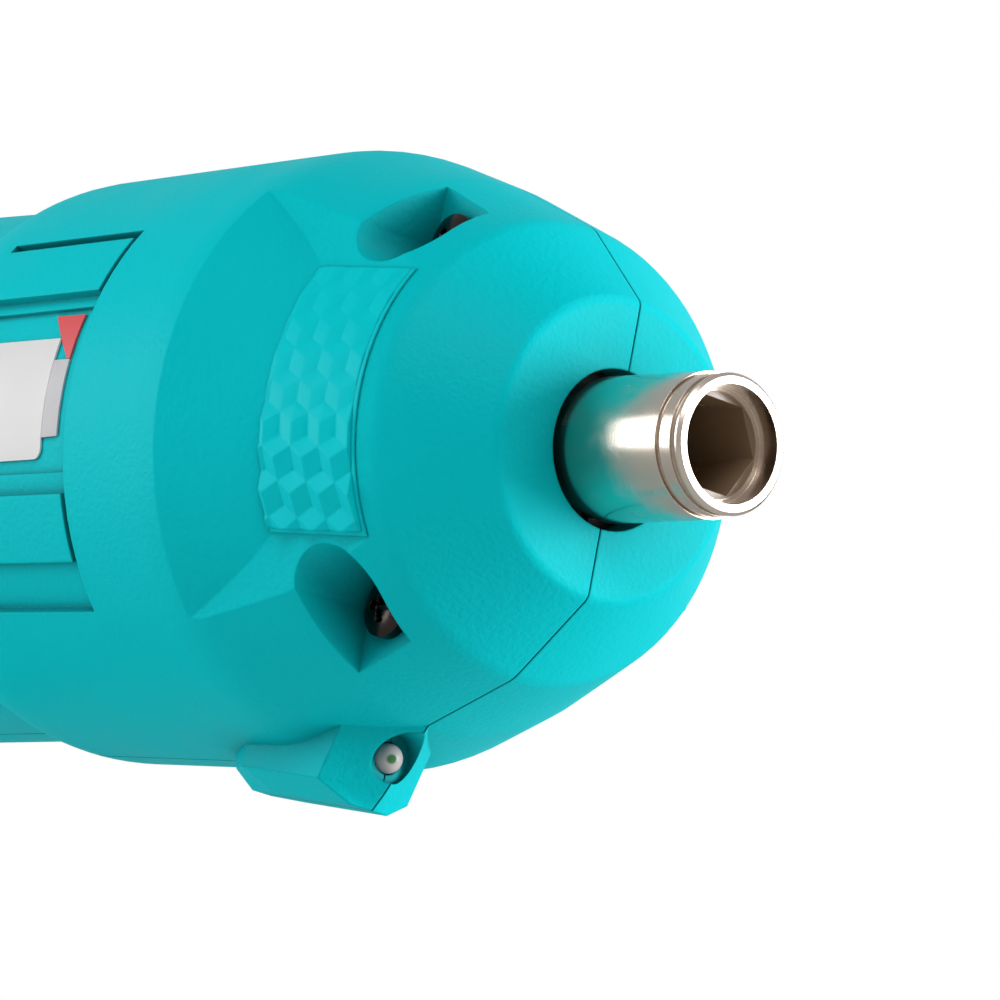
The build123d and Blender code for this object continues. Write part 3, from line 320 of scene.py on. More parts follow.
@dataclass(frozen=True)
class NickelSleeve(BareMetal):
    """Nickel plate over steel. The broached hexagon is drawn dull brown, not metal: painted
    reflection, standing in for the light that the steel hexagon reflects.
    """

    # Painted reflection: the socket's brown stands in for the light that its metal reflects
    socket_painted_reflection_colour: str = "8A745C"
    socket_radius_mm: float = 3.85
    socket_blend_mm: float = 0.1

    def pattern(self, on: Canvas) -> None:
        """Adds the blasted grain and, round the spindle's axis, the socket's dull brown painted
        reflection.

        Args:
            on: the material's canvas.
        """
        super().pattern(on)
        inner = self.socket_radius_mm - self.socket_blend_mm
        # Painted reflection: inside the socket the colour turns brown and the metal is switched off
        plated = self.spot(on, on.place, self.socket_painted_reflection_colour, inner, self.socket_radius_mm)
        on.feed("Metallic", plated)


@dataclass(frozen=True)
class CastEpoxy(Finish):
    """Cast epoxy of a small lamp: milky white and glossy, with the green chip in its middle."""

    chip_colour: str = "3C8A48"
    chip_radius_mm: float = 0.26
    chip_blur: float = 1.6
    chip_place_mm: tuple[float, float, float] = (0.0, -0.4, -22.3)
    clearness: float = 0.25

    def pattern(self, on: Canvas) -> None:
        """Adds the chip as a soft green spot round the lamp's own axis.

        Args:
            on: the material's canvas.
        """
        self.mottle(on, size_mm=0.8, spread=0.02)
        on.shader.inputs["Transmission Weight"].default_value = self.clearness
        chip = tuple(c * MM for c in self.chip_place_mm)
        centre = node(
            on.tree, "ShaderNodeVectorMath", {0: on.place, 1: chip}, operation="SUBTRACT"
        )
        outer = self.chip_blur * self.chip_radius_mm
        self.spot(on, centre.outputs[0], self.chip_colour, self.chip_radius_mm, outer)


class Slot(Enum):
    """The record's material slots, each with its finish."""

    # ABS dyed through, spark eroded mould: even, softly lit colour with hardly any gloss; its
    # recesses are darkened by painted shade
    TEAL_SHELL = MouldedPlastic("moulded_abs_teal", "00CED7", 0.5, gloss=0.05, painted_shade_reach_mm=7.0)
    # Moulded rubber: deep matt black
    GRIP_RUBBER = MouldedPlastic(
        "moulded_rubber_black", "1B1D1F", 0.7, grain_mm=0.5, grain_depth_mm=0.02
    )
    # Moulded nylon: black with a soft shine
    BLACK_PLASTIC = MouldedPlastic("moulded_nylon_black", "141416", 0.45, ior=1.53)
    # Oxide blackened steel: nearly black, with sharp bright reflections
    BLACK_SCREW = BareMetal("black_oxide_steel", "38312F", 0.2, metallic=1.0)
    # Printed film: white and smooth under a clear layer
    LABEL_WHITE = Finish("printed_film_white", "E2E1E2", 0.45)
    # Nickel plate, blasted before plating: bright, warm and finely grained
    NICKEL = NickelSleeve("blasted_nickel_plate", "CDC0B4", 0.22, metallic=1.0)
    # Ground steel: grey with a narrow shine
    STEEL = BareMetal("ground_steel", "9A9CA0", 0.3, metallic=1.0)
    # Sintered bronze: brown gold, porous and dull
    BRONZE = BareMetal("sintered_bronze", "A9794A", 0.4, metallic=1.0)
    # Natural nylon: cream, slightly waxy
    NYLON = MouldedPlastic("moulded_nylon_natural", "DAD6C8", 0.4, ior=1.53)
    # Ferrite, pressed in a mould and sintered: dark grey and dull, as even as a moulded plastic
    MAGNET = MouldedPlastic("sintered_ferrite", "26272A", 0.6, grain_mm=0.4)
    # Zinc plated sheet steel: light grey and bright
    MOTOR_STEEL = BareMetal("zinc_plated_steel", "B9BBBD", 0.28, metallic=1.0)
    # Enamelled copper wire: orange brown with a varnished shine
    COPPER = BareMetal("enamelled_copper", "B5622E", 0.3, metallic=1.0)
    # Cast epoxy: milky and glossy
    CLEAR_LENS = CastEpoxy("cast_epoxy_milky", "DCD2D4", 0.12)
    # Solder mask: dark green, glossy
    CIRCUIT_BOARD = Finish("solder_mask_green", "0E5A35", 0.25, coat=0.5)
    # Shrink film: blue, smooth and glossy
    CELL_WRAP = Finish("shrink_film_blue", "1F5AA6", 0.3, coat=0.4)


class Trim(Enum):
    """Finishes that the record's slots don't name."""

    # Silk screened ink, plain grey: as smooth as the film under it
    GREY_STRIP = Finish("printed_ink_grey", "C0BEC3", 0.45)
    # Silk screened ink, plain red: as smooth as the film under it
    RED_PATCH = Finish("printed_ink_red", "DE474D", 0.45)
    # The relief's part of the mould is smoother, and its colour is painted lighter than the
    # shell's: painted highlight for the facets that catch the light
    POLISHED_RELIEF = MouldedPlastic(
        "moulded_abs_teal_polished", "00D3DC", 0.45, gloss=0.06, grain_depth_mm=0.002
    )
    # Spring steel of the clip inside the nose, nearly black with no shine: painted shade for the
    # dark gap round the sleeve's foot
    PHOSPHATE = BareMetal("phosphated_spring_steel", "161617", 0.6, metallic=0.5)
    # Emulsion paint on the studio's floor: white, with no shine at all
    PAINTED_BOARD = Finish("painted_board_white", "DFDFDD", 0.9, gloss=0.0)


@dataclass(frozen=True)
class Taper:
    """A cone round the spindle that a flat sheet is laid on, on one side of the tool."""

    front_x: float
    front_radius: float
    rear_x: float
    rear_radius: float
    side: int = -1

    def radius(self, x: float) -> float:
        """Gives the cone's radius at x, in millimetres."""
        share = (x - self.front_x) / (self.rear_x - self.front_x)
        return self.front_radius + share * (self.rear_radius - self.front_radius)

    def place(self, x: float, z: float, proud: float) -> Vector:
        """Puts a point of the side view on the cone.

        Args:
            x: its place along the spindle, in millimetres.
            z: its height on the cone, in millimetres.
            proud: how far it stands out, in millimetres.

        Returns:
            The point, in metres.
        """
        radius = self.radius(x)
        turn = math.asin(z / radius)
        out = radius + proud
        return Vector((x, self.side * out * math.cos(turn), out * math.sin(turn))) * MM


def dressed(name: str, mesh: bpy.types.Mesh, finish: bpy.types.Material) -> bpy.types.Object:
    """Makes a piece of a mesh and gives it its finish.

    Args:
        name: the piece's name.
        mesh: its mesh, in metres and in its place.
        finish: its only material.

    Returns:
        The piece, at the origin.
    """
    mesh.materials.clear()
    mesh.materials.append(finish)
    piece = bpy.data.objects.new(name, mesh)
    bpy.context.scene.collection.objects.link(piece)
    LOG.info("%s: %d faces", name, len(mesh.polygons))
    return piece


def closed_mesh(name: str, form: bmesh.types.BMesh) -> bpy.types.Mesh:
    """Turns the faces of a closed form outwards and makes a mesh of it.

    Args:
        name: the mesh's name.
        form: the closed form, which is used up.

    Returns:
        The mesh.
    """
    bmesh.ops.recalc_face_normals(form, faces=form.faces)
    if form.calc_volume(signed=True) < 0:  # a thin, curved sheet may come out inside out
        bmesh.ops.reverse_faces(form, faces=form.faces)
    mesh = bpy.data.meshes.new(name)
    form.to_mesh(mesh)
    form.free()
    return mesh


def solid_on(
    name: str, form: bmesh.types.BMesh, wrap: Callable[[Vector], Vector], foot: float, lift: float
) -> bpy.types.Mesh:
    """Gives an open sheet a flat back and wraps it.

    Args:
        name: the mesh's name.
        form: the sheet, in millimetres, its heights in Z.
        wrap: turns a point of the sheet into its place, in metres.
        foot: the height of the flat back.
        lift: how far the front is raised over its own heights.

    Returns:
        The closed mesh.
    """
    backs = list(form.faces)
    made = bmesh.ops.extrude_face_region(form, geom=backs, use_keep_orig=True)
    fronts = {part for part in made["geom"] if isinstance(part, bmesh.types.BMVert)}
    for corner in form.verts:
        corner.co.z = corner.co.z + lift if corner in fronts else foot
    for corner in form.verts:
        corner.co = wrap(corner.co.copy())
    # The extrusion leaves its parts in an order that changes from run to run
    for parts, middle in (
        (form.verts, lambda corner: corner.co),
        (form.faces, lambda face: face.calc_center_median()),
    ):
        for number, part in enumerate(sorted(parts, key=lambda part: tuple(middle(part)))):
            part.index = number
        parts.sort()
    return closed_mesh(name, form)


def cut_in_bands(
    form: bmesh.types.BMesh, low: float, high: float, step: float, axis: int = 1
) -> None:
    """Cuts a flat sheet into narrow bands, so that it can follow a curve.

    Args:
        form: the sheet.
        low: where the first band starts.
        high: where the last one ends.
        step: the width of a band.
        axis: 0 to cut along X, 1 to cut along Y.
    """
    count = max(1, math.ceil((high - low) / step))
    for band in range(1, count):
        across = Vector((0.0, 0.0, 0.0))
        across[axis] = low + (high - low) * band / count
        facing = Vector((1.0, 0.0, 0.0)) if axis == 0 else Vector((0.0, 1.0, 0.0))
        everything = [*form.verts, *form.edges, *form.faces]
        bmesh.ops.bisect_plane(form, geom=everything, plane_co=across, plane_no=facing)


def new_tree(
    name: str, inputs: dict[str, str]
) -> tuple[bpy.types.NodeTree, bpy.types.bpy_prop_collection]:
    """Starts a Geometry Nodes tree with its named inputs, a finish among them.

    Args:
        name: the tree's name.
        inputs: input name to the kind of its socket, such as Float.

    Returns:
        The tree, and the sockets that give the inputs' values.
    """
    tree = bpy.data.node_groups.new(name, "GeometryNodeTree")
    for label, kind in (*inputs.items(), ("Finish", "Material")):
        tree.interface.new_socket(name=label, in_out="INPUT", socket_type=f"NodeSocket{kind}")
    tree.interface.new_socket(name="Geometry", in_out="OUTPUT", socket_type="NodeSocketGeometry")
    return tree, node(tree, "NodeGroupInput").outputs


def end_tree(
    tree: bpy.types.NodeTree, shape: bpy.types.NodeSocket, finish: bpy.types.NodeSocket
) -> None:
    """Ends a tree: its instances become real and get their finish.

    Args:
        tree: the tree.
        shape: the geometry that it has made.
        finish: the material to give it.
    """
    real = node(tree, "GeometryNodeRealizeInstances", {0: shape})
    done = node(tree, "GeometryNodeSetMaterial", {0: real.outputs[0], "Material": finish})
    node(tree, "NodeGroupOutput", {0: done.outputs[0]})


def settle(
    tree: bpy.types.NodeTree,
    values: dict[str, Any],
    points: Iterable[tuple[float, float, float]] = (),
) -> bpy.types.Mesh:
    """Runs a Geometry Nodes tree once and takes its result as a plain mesh.

    Args:
        tree: the tree, its inputs named.
        values: input name to value.
        points: the points that the tree starts from, if it does.

    Returns:
        The finished mesh. The object that made it is deleted.
    """
    start = bpy.data.meshes.new(tree.name)
    start.from_pydata(list(points), [], [])
    maker = bpy.data.objects.new(tree.name, start)
    bpy.context.scene.collection.objects.link(maker)
    modifier = maker.modifiers.new("pattern", "NODES")
    modifier.node_group = tree
    for socket in tree.interface.items_tree:
        if socket.in_out == "INPUT" and socket.name in values:
            modifier[socket.identifier] = values[socket.name]
    bpy.context.view_layer.update()
    graph = bpy.context.evaluated_depsgraph_get()
    mesh = bpy.data.meshes.new_from_object(maker.evaluated_get(graph), depsgraph=graph)
    bpy.data.objects.remove(maker)
    return mesh


@dataclass
class StackedCubeRelief:
    """Moulded relief of stacked cubes on the flanks of the nose, inside a thin raised border."""

    front_x: float = -8.0
    front_radius: float = 17.05
    rear_x: float = -16.4
    rear_radius: float = 18.75
    half_height: float = 9.7
    columns: int = 6
    rows: int = 11
    cell_width: float = 2.5
    cell_rise: float = 0.75  # from a cube's middle to its upper corners
    cell_drop: float = 1.6  # from its middle to its lowest corner
    cell_depth: float = 0.28  # one of the two steps of a cube's height
    faint_share: float = 0.13  # what is left of the depth where the relief runs out upwards
    faint_from: float = -3.6
    faint_to: float = -1.4
    foot: float = 0.04
    lift: float = 0.08
    border_width: float = 0.35
    border_height: float = 0.11
    seat: float = 0.1  # clear of the panel's own ends
    band: float = 1.0
    weld: float = 0.01

    def cube(self) -> bpy.types.Object:
        """Makes one cube's three visible faces, flat in X and Y with their height in Z.

        Returns:
            The cube, which isn't in the scene.
        """
        half = self.cell_width / 2
        low = self.cell_rise - self.cell_drop
        corners = [
            (0, 0, 2 * self.cell_depth),
            (half, self.cell_rise, self.cell_depth),
            (0, 2 * self.cell_rise, 0),
            (-half, self.cell_rise, self.cell_depth),
            (-half, low, 0),
            (0, -self.cell_drop, self.cell_depth),
            (half, low, 0),
        ]
        mesh = bpy.data.meshes.new("relief_cube")
        mesh.from_pydata(corners, [], [(0, 1, 2, 3), (0, 3, 4, 5), (0, 5, 6, 1)])
        return bpy.data.objects.new("relief_cube", mesh)

    def tree(self) -> bpy.types.NodeTree:
        """Builds the tree that sets the cubes in rows, every second row moved by half a cube.

        Returns:
            The tree.
        """
        counts = {"Columns": "Int", "Rows": "Int"}
        sizes = {"Length": "Float", "Height": "Float", "Shift": "Float"}
        tree, given = new_tree("relief_rows", {"Cube": "Object", **counts, **sizes})
        points = node(
            tree,
            "GeometryNodeMeshGrid",
            {
                "Size X": given["Length"],
                "Size Y": given["Height"],
                "Vertices X": given["Columns"],
                "Vertices Y": given["Rows"],
            },
        )
        index = node(tree, "GeometryNodeInputIndex").outputs[0]
        row = node(tree, "ShaderNodeMath", {0: index, 1: given["Rows"]}, operation="MODULO")
        odd = node(tree, "ShaderNodeMath", {0: row.outputs[0], 1: 2.0}, operation="MODULO")
        shift = node(
            tree, "ShaderNodeMath", {0: odd.outputs[0], 1: given["Shift"]}, operation="MULTIPLY"
        )
        offset = node(tree, "ShaderNodeCombineXYZ", {"X": shift.outputs[0]})
        moved = node(
            tree,
            "GeometryNodeSetPosition",
            {"Geometry": points.outputs["Mesh"], "Offset": offset.outputs[0]},
        )
        cube = node(tree, "GeometryNodeObjectInfo", {"Object": given["Cube"], "As Instance": True})
        rows = node(
            tree,
            "GeometryNodeInstanceOnPoints",
            {"Points": moved.outputs[0], "Instance": cube.outputs["Geometry"]},
        )
        end_tree(tree, rows.outputs[0], given["Finish"])
        return tree

    def build(self, finish: bpy.types.Material) -> None:
        """Makes both panels and their borders, and lets them ride on the head.

        Args:
            finish: the relief's smooth plastic, its colour lightened as painted highlight.
        """
        cube = self.cube()
        values = {
            "Cube": cube,
            "Columns": self.columns,
            "Rows": self.rows,
            "Length": self.cell_width * (self.columns - 1),
            "Height": (self.cell_rise + self.cell_drop) * (self.rows - 1),
            "Shift": self.cell_width / 2,
            "Finish": finish,
        }
        pattern = settle(self.tree(), values)
        bpy.data.objects.remove(cube)
        for side, word in ((-1, "right"), (1, "left")):
            taper = Taper(self.front_x, self.front_radius, self.rear_x, self.rear_radius, side)
            self.lay(f"relief_panel_{word}", self.panel(pattern), taper, self.lift, finish)
            self.lay(f"relief_border_{word}", self.border(), taper, self.border_height, finish)

    def panel(self, pattern: bpy.types.Mesh) -> bmesh.types.BMesh:
        """Trims the rows of cubes to the panel and lets them run out upwards.

        Args:
            pattern: the flat rows of cubes.

        Returns:
            The flat panel.
        """
        middle = (self.front_x + self.rear_x) / 2
        low_x = self.rear_x + self.seat
        high_x = self.front_x - self.border_width
        form = bmesh.new()
        form.from_mesh(pattern)
        bmesh.ops.translate(form, verts=form.verts, vec=(middle, 0.0, 0.0))
        bmesh.ops.remove_doubles(form, verts=form.verts, dist=self.weld)
        for place, facing in (
            ((low_x, 0, 0), (-1, 0, 0)),
            ((high_x, 0, 0), (1, 0, 0)),
            ((0, self.border_width - self.half_height, 0), (0, -1, 0)),
            ((0, self.half_height, 0), (0, 1, 0)),
        ):
            everything = [*form.verts, *form.edges, *form.faces]
            bmesh.ops.bisect_plane(
                form, geom=everything, plane_co=place, plane_no=facing, clear_outer=True
            )
        for corner in form.verts:
            share = (corner.co.y - self.faint_from) / (self.faint_to - self.faint_from)
            corner.co.z *= 1 - (1 - self.faint_share) * min(1.0, max(0.0, share))
        return form

    def border(self) -> bmesh.types.BMesh:
        """Draws the raised border along the panel's front and lower edges.

        Returns:
            The flat border, cut into bands.
        """
        inner_x = self.front_x - self.border_width
        low = -self.half_height
        corners = [
            (self.rear_x + self.seat, low),
            (self.front_x, low),
            (self.front_x, self.half_height),
            (inner_x, self.half_height),
            (inner_x, low + self.border_width),
            (self.rear_x + self.seat, low + self.border_width),
        ]
        form = bmesh.new()
        form.faces.new([form.verts.new((x, z, 0.0)) for x, z in corners])
        cut_in_bands(form, low, self.half_height, self.band)
        cut_in_bands(form, self.rear_x, self.front_x, self.band, axis=0)
        return form

    def lay(
        self,
        name: str,
        form: bmesh.types.BMesh,
        taper: Taper,
        lift: float,
        finish: bpy.types.Material,
    ) -> None:
        """Wraps a sheet on the cone, gives it its finish and lets it ride on the head.

        Args:
            name: the piece's name.
            form: the flat sheet, which is used up.
            taper: the cone that carries it.
            lift: how far its front is raised.
            finish: the relief's smooth plastic, its colour lightened as painted highlight.
        """
        mesh = solid_on(name, form, lambda at: taper.place(at.x, at.y, at.z), self.foot, lift)
        piece = dressed(name, mesh, finish)
        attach(piece, "head")


@dataclass
class SideLabel:
    """Blank film label in the side zone, with a plain grey strip and red patch at its front."""

    surface: Taper = Taper(-23.9, 21.53, -53.5, 20.56)
    film_thickness: float = 0.15
    corner_radius: float = 0.8
    corner_steps: int = 6
    film_low: float = -4.8
    film_high: float = 4.1
    film_front: float = -38.55
    film_rear: float = -48.4
    strip: tuple[tuple[float, float], ...] = (
        (-38.5, -3.3),
        (-36.65, -3.25),
        (-36.65, 2.4),
        (-38.5, 2.4),
    )
    patch: tuple[tuple[float, float], ...] = (
        (-37.0, 2.45),
        (-36.65, 2.45),
        (-36.65, 5.9),
        (-40.1, 5.9),
    )
    band: float = 0.5
    band_reach: float = 7.0  # past the label, above and below

    def film(self) -> list[tuple[float, float]]:
        """Draws the film: a rectangle whose lower front corner is rounded.

        Returns:
            Its corners in X and Z.
        """
        corner_x = self.film_front - self.corner_radius
        corner_z = self.film_low + self.corner_radius
        turns = [step * math.pi / (2 * self.corner_steps) for step in range(self.corner_steps + 1)]
        rounded = [
            (
                corner_x + self.corner_radius * math.sin(turn),
                corner_z - self.corner_radius * math.cos(turn),
            )
            for turn in turns
        ]
        return [
            (self.film_rear, self.film_low),
            *rounded,
            (self.film_front, self.film_high),
            (self.film_rear, self.film_high),
        ]

    def build(self, film_finish: bpy.types.Material) -> None:
        """Makes the film, strip and patch. They stand for the CAD's blank sheet.

        Args:
            film_finish: the white film.
        """
        sheets = (
            ("label_film", self.film(), film_finish),
            ("label_strip_grey", list(self.strip), Trim.GREY_STRIP.value.build()),
            ("label_patch_red", list(self.patch), Trim.RED_PATCH.value.build()),
        )
        for name, outline, finish in sheets:
            form = bmesh.new()
            form.faces.new([form.verts.new((x, z, 0.0)) for x, z in outline])
            cut_in_bands(form, -self.band_reach, self.band_reach, self.band)
            mesh = solid_on(
                name,
                form,
                lambda at: self.surface.place(at.x, at.y, at.z),
                foot=0.0,
                lift=self.film_thickness,
            )
            piece = dressed(name, mesh, finish)
            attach(piece, "head")
            if name == "label_film":
                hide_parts("side_label")


@dataclass
class CrossScrews:
    """Domed cross recess screws that close a housing from its right, each turned as it stopped."""

    name: str
    body: str
    replaced: str
    places: tuple[tuple[float, float], ...]  # X and Z of each
    floor: float  # how far right of the seam their heads stand
    head_height: float
    shank_radius: float
    seed: int
    head_radius: float = 2.2
    tip: float = 5.9  # how far left of the seam they reach
    crown_drop: float = 0.5
    crown_power: float = 2.5
    recess_reach: float = 1.2
    recess_half_width: float = 0.3
    recess_depth: float = 0.8
    recess_draft: float = 0.12
    recess_rise: float = 0.4  # share of its depth that it has lost at its ends
    segments: int = 48
    rings: int = 18

    def height(self, across: float, along: float) -> float:
        """Works out the head's height over its seat, with the cross cut into its dome.

        Args:
            across: the place on the head in X, from its middle.
            along: the same in Z.

        Returns:
            The height in millimetres.
        """
        radius = math.hypot(across, along)
        dome = self.head_height - self.crown_drop * (radius / self.head_radius) ** self.crown_power
        near, far = sorted((abs(across), abs(along)))
        inside = (self.recess_half_width - near) / self.recess_draft
        reached = (self.recess_reach - far) / self.recess_draft
        cut = min(1.0, max(0.0, inside)) * min(1.0, max(0.0, reached))
        return dome - self.recess_depth * cut * (1 - self.recess_rise * far / self.recess_reach)

    def screw(self) -> bpy.types.Object:
        """Makes one screw round the Y axis, its head to the right and its seat at the origin.

        Returns:
            The screw, which isn't in the scene.
        """
        form = bmesh.new()
        loops = []
        # A ring without a level of its own lies on the domed head
        profile = [(self.head_radius * (ring + 1) / self.rings, None) for ring in range(self.rings)]
        profile += [
            (self.head_radius, 0.0),
            (self.shank_radius, 0.0),
            (self.shank_radius, -self.floor - self.tip),
        ]
        for radius, level in profile:
            loop = []
            for segment in range(self.segments):
                turn = 2 * math.pi * segment / self.segments
                across, along = radius * math.cos(turn), radius * math.sin(turn)
                rise = self.height(across, along) if level is None else level
                loop.append(form.verts.new((across, -rise, along)))
            loops.append(loop)
        top = form.verts.new((0.0, -self.height(0.0, 0.0), 0.0))
        for segment in range(self.segments):
            follow = (segment + 1) % self.segments
            form.faces.new((top, loops[0][segment], loops[0][follow]))
            for inner, outer in zip(loops, loops[1:]):
                form.faces.new((inner[segment], outer[segment], outer[follow], inner[follow]))
        form.faces.new(loops[-1])
        return bpy.data.objects.new("cross_screw", closed_mesh("cross_screw", form))

    def tree(self) -> bpy.types.NodeTree:
        """Builds the tree that sets a screw on each place, turned about its own axis.

        Returns:
            The tree.
        """
        inputs = {"Places": "Geometry", "Screw": "Object", "Seed": "Int"}
        tree, given = new_tree("screw_places", inputs)
        turn = node(
            tree,
            "FunctionNodeRandomValue",
            {"Min": (0.0, 0.0, 0.0), "Max": (0.0, math.pi / 2, 0.0), "Seed": given["Seed"]},
            data_type="FLOAT_VECTOR",
        )
        model = {"Object": given["Screw"], "As Instance": True}
        screw = node(tree, "GeometryNodeObjectInfo", model)
        screws = node(
            tree,
            "GeometryNodeInstanceOnPoints",
            {
                "Points": given["Places"],
                "Instance": screw.outputs["Geometry"],
                "Rotation": turn.outputs[0],
            },
        )
        end_tree(tree, screws.outputs[0], given["Finish"])
        return tree

    def build(self, finish: bpy.types.Material) -> None:
        """Makes the screws. They stand for the CAD's plain ones.

        Args:
            finish: the screws' blackened steel.
        """
        screw = self.screw()
        places = [(x, -self.floor, z) for x, z in self.places]
        mesh = settle(self.tree(), {"Screw": screw, "Seed": self.seed, "Finish": finish}, places)
        bpy.data.objects.remove(screw)
        mesh.transform(Matrix.Diagonal((MM, MM, MM, 1.0)))
        piece = dressed(self.name, mesh, finish)
        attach(piece, self.body)
        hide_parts(self.replaced)


@dataclass
class HandleFrame:
    """The handle's own directions at rest: forward of its axis, and down it from the pivot."""

    pivot_x: float = -96.68
    fold_degrees: float = 70.0

    def axes(self) -> tuple[Vector, Vector]:
        """Works out the handle's forward and down directions.

        Returns:
            Both, each of length one.
        """
        fold = math.radians(self.fold_degrees)
        forward = Vector((math.sin(fold), 0.0, -math.cos(fold)))
        down = Vector((-math.cos(fold), 0.0, -math.sin(fold)))
        return forward, down

    def place(self, forward: float, drop: float) -> Vector:
        """Gives a point of the handle's middle plane, in millimetres."""
        ahead, down = self.axes()
        return Vector((self.pivot_x, 0.0, 0.0)) + ahead * forward + down * drop


@dataclass
class HousingScrews:
    """The eight screws that close both housings, where the CAD has its plain ones."""

    handle: HandleFrame
    nose_x: float = -11.6
    nose_z: float = 13.3
    rear_x: float = -79.38
    rear_z: float = 14.4
    handle_places: tuple[tuple[float, float], ...] = (  # forward and drop of each
        (-8.2, 26.0),
        (11.3, 56.2),
        (11.3, 114.8),
        (-14.3, 114.8),
    )
    nose_floor: float = 7.75
    rear_floor: float = 8.6
    handle_floor: float = 8.0
    head_sizes: tuple[float, float] = (1.3, 1.4)  # height of the head, radius of the shank
    handle_sizes: tuple[float, float] = (1.5, 1.1)

    def build(self, finish: bpy.types.Material) -> None:
        """Makes the screws of each housing.

        Args:
            finish: their blackened steel.
        """
        nose = ((self.nose_x, self.nose_z), (self.nose_x, -self.nose_z))
        rear = ((self.rear_x, self.rear_z), (self.rear_x, -self.rear_z))
        closing = (self.handle.place(*place) for place in self.handle_places)
        grip = tuple((at.x, at.z) for at in closing)
        for name, body, places, floor, sizes, seed in (
            ("nose_screws", "head", nose, self.nose_floor, self.head_sizes, 7),
            ("rear_screws", "head", rear, self.rear_floor, self.head_sizes, 3),
            ("handle_screws", "handle", grip, self.handle_floor, self.handle_sizes, 5),
        ):
            screws = CrossScrews(
                f"{name}_dressed", body, f"{body}_screws", places, floor, *sizes, seed
            )
            screws.build(finish)


@dataclass
class CoilSpring:
    """Compression spring of round wire, behind the button that presses on it."""

    name: str
    body: str
    replaced: str
    joint: str
    fixed_end: Vector  # middle of its fixed end, in millimetres
    moving_end: Vector
    travel: float
    mean_radius: float
    wire_radius: float
    turns: float = 3.0
    resolution: int = 28
    wire_sides: int = 8
    weld: float = 0.001

    def tree(self) -> bpy.types.NodeTree:
        """Builds the tree that winds the wire round the Z axis.

        Returns:
            The tree.
        """
        counts = {"Turns": "Float", "Resolution": "Int", "Wire sides": "Int"}
        sizes = {"Mean radius": "Float", "Height": "Float", "Wire radius": "Float"}
        tree, given = new_tree("coil", {**counts, **sizes})
        coil = node(
            tree,
            "GeometryNodeCurveSpiral",
            {
                "Resolution": given["Resolution"],
                "Rotations": given["Turns"],
                "Start Radius": given["Mean radius"],
                "End Radius": given["Mean radius"],
                "Height": given["Height"],
            },
        )
        wire = node(
            tree,
            "GeometryNodeCurvePrimitiveCircle",
            {"Resolution": given["Wire sides"], "Radius": given["Wire radius"]},
        )
        swept = node(
            tree,
            "GeometryNodeCurveToMesh",
            {"Curve": coil.outputs[0], "Profile Curve": wire.outputs[0], "Fill Caps": True},
        )
        end_tree(tree, swept.outputs[0], given["Finish"])
        return tree

    def build(self, finish: bpy.types.Material) -> None:
        """Winds the spring between its ends.

        Args:
            finish: the spring's steel.
        """
        along = self.moving_end - self.fixed_end
        values = {
            "Turns": self.turns,
            "Resolution": self.resolution,
            "Mean radius": self.mean_radius,
            "Height": along.length - 2 * self.wire_radius,
            "Wire sides": self.wire_sides,
            "Wire radius": self.wire_radius,
            "Finish": finish,
        }
        mesh = settle(self.tree(), values)
        turn = along.to_track_quat("Z", "Y").to_matrix().to_4x4()
        start = self.fixed_end + along.normalized() * self.wire_radius
        mesh.transform(Matrix.Scale(MM, 4) @ Matrix.Translation(start) @ turn)
        form = bmesh.new()
        form.from_mesh(mesh)
        bmesh.ops.remove_doubles(form, verts=form.verts, dist=self.weld * MM)
        bmesh.ops.recalc_face_normals(form, faces=form.faces)
        form.to_mesh(mesh)
        form.free()
        piece = dressed(self.name, mesh, finish)
        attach(piece, self.body)
        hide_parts(self.replaced)
        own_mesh(piece)


@dataclass
class ButtonSprings:
    """The springs behind the trigger and the fold lock's button, in the room of their CAD tubes."""

    handle: HandleFrame
    trigger_drop: float = 40.0
    trigger_seat: float = 4.3  # forward of the handle's axis, on the switch
    trigger_end: float = 8.0
    trigger_travel: float = 3.5
    trigger_radii: tuple[float, float] = (2.25, 0.28)  # of the coil's middle, of its wire
    lock_seat: float = 11.95  # right of the seam, on the floor of the button's bore
    lock_end: float = 17.35
    lock_travel: float = 2.0
    lock_radii: tuple[float, float] = (4.05, 0.45)

    def build(self, finish: bpy.types.Material) -> None:
        """Makes both springs.

        Args:
            finish: their steel.
        """
        for spring in (
            CoilSpring(
                "trigger_coil_spring",
                "handle",
                "trigger_spring",
                "trigger_pull",
                self.handle.place(self.trigger_seat, self.trigger_drop),
                self.handle.place(self.trigger_end, self.trigger_drop),
                self.trigger_travel,
                *self.trigger_radii,
            ),
            CoilSpring(
                "lock_coil_spring",
                "head",
                "lock_spring",
                "lock_press",
                Vector((self.handle.pivot_x, -self.lock_seat, 0.0)),
                Vector((self.handle.pivot_x, -self.lock_end, 0.0)),
                self.lock_travel,
                *self.lock_radii,
            ),
        ):
            spring.build(finish)


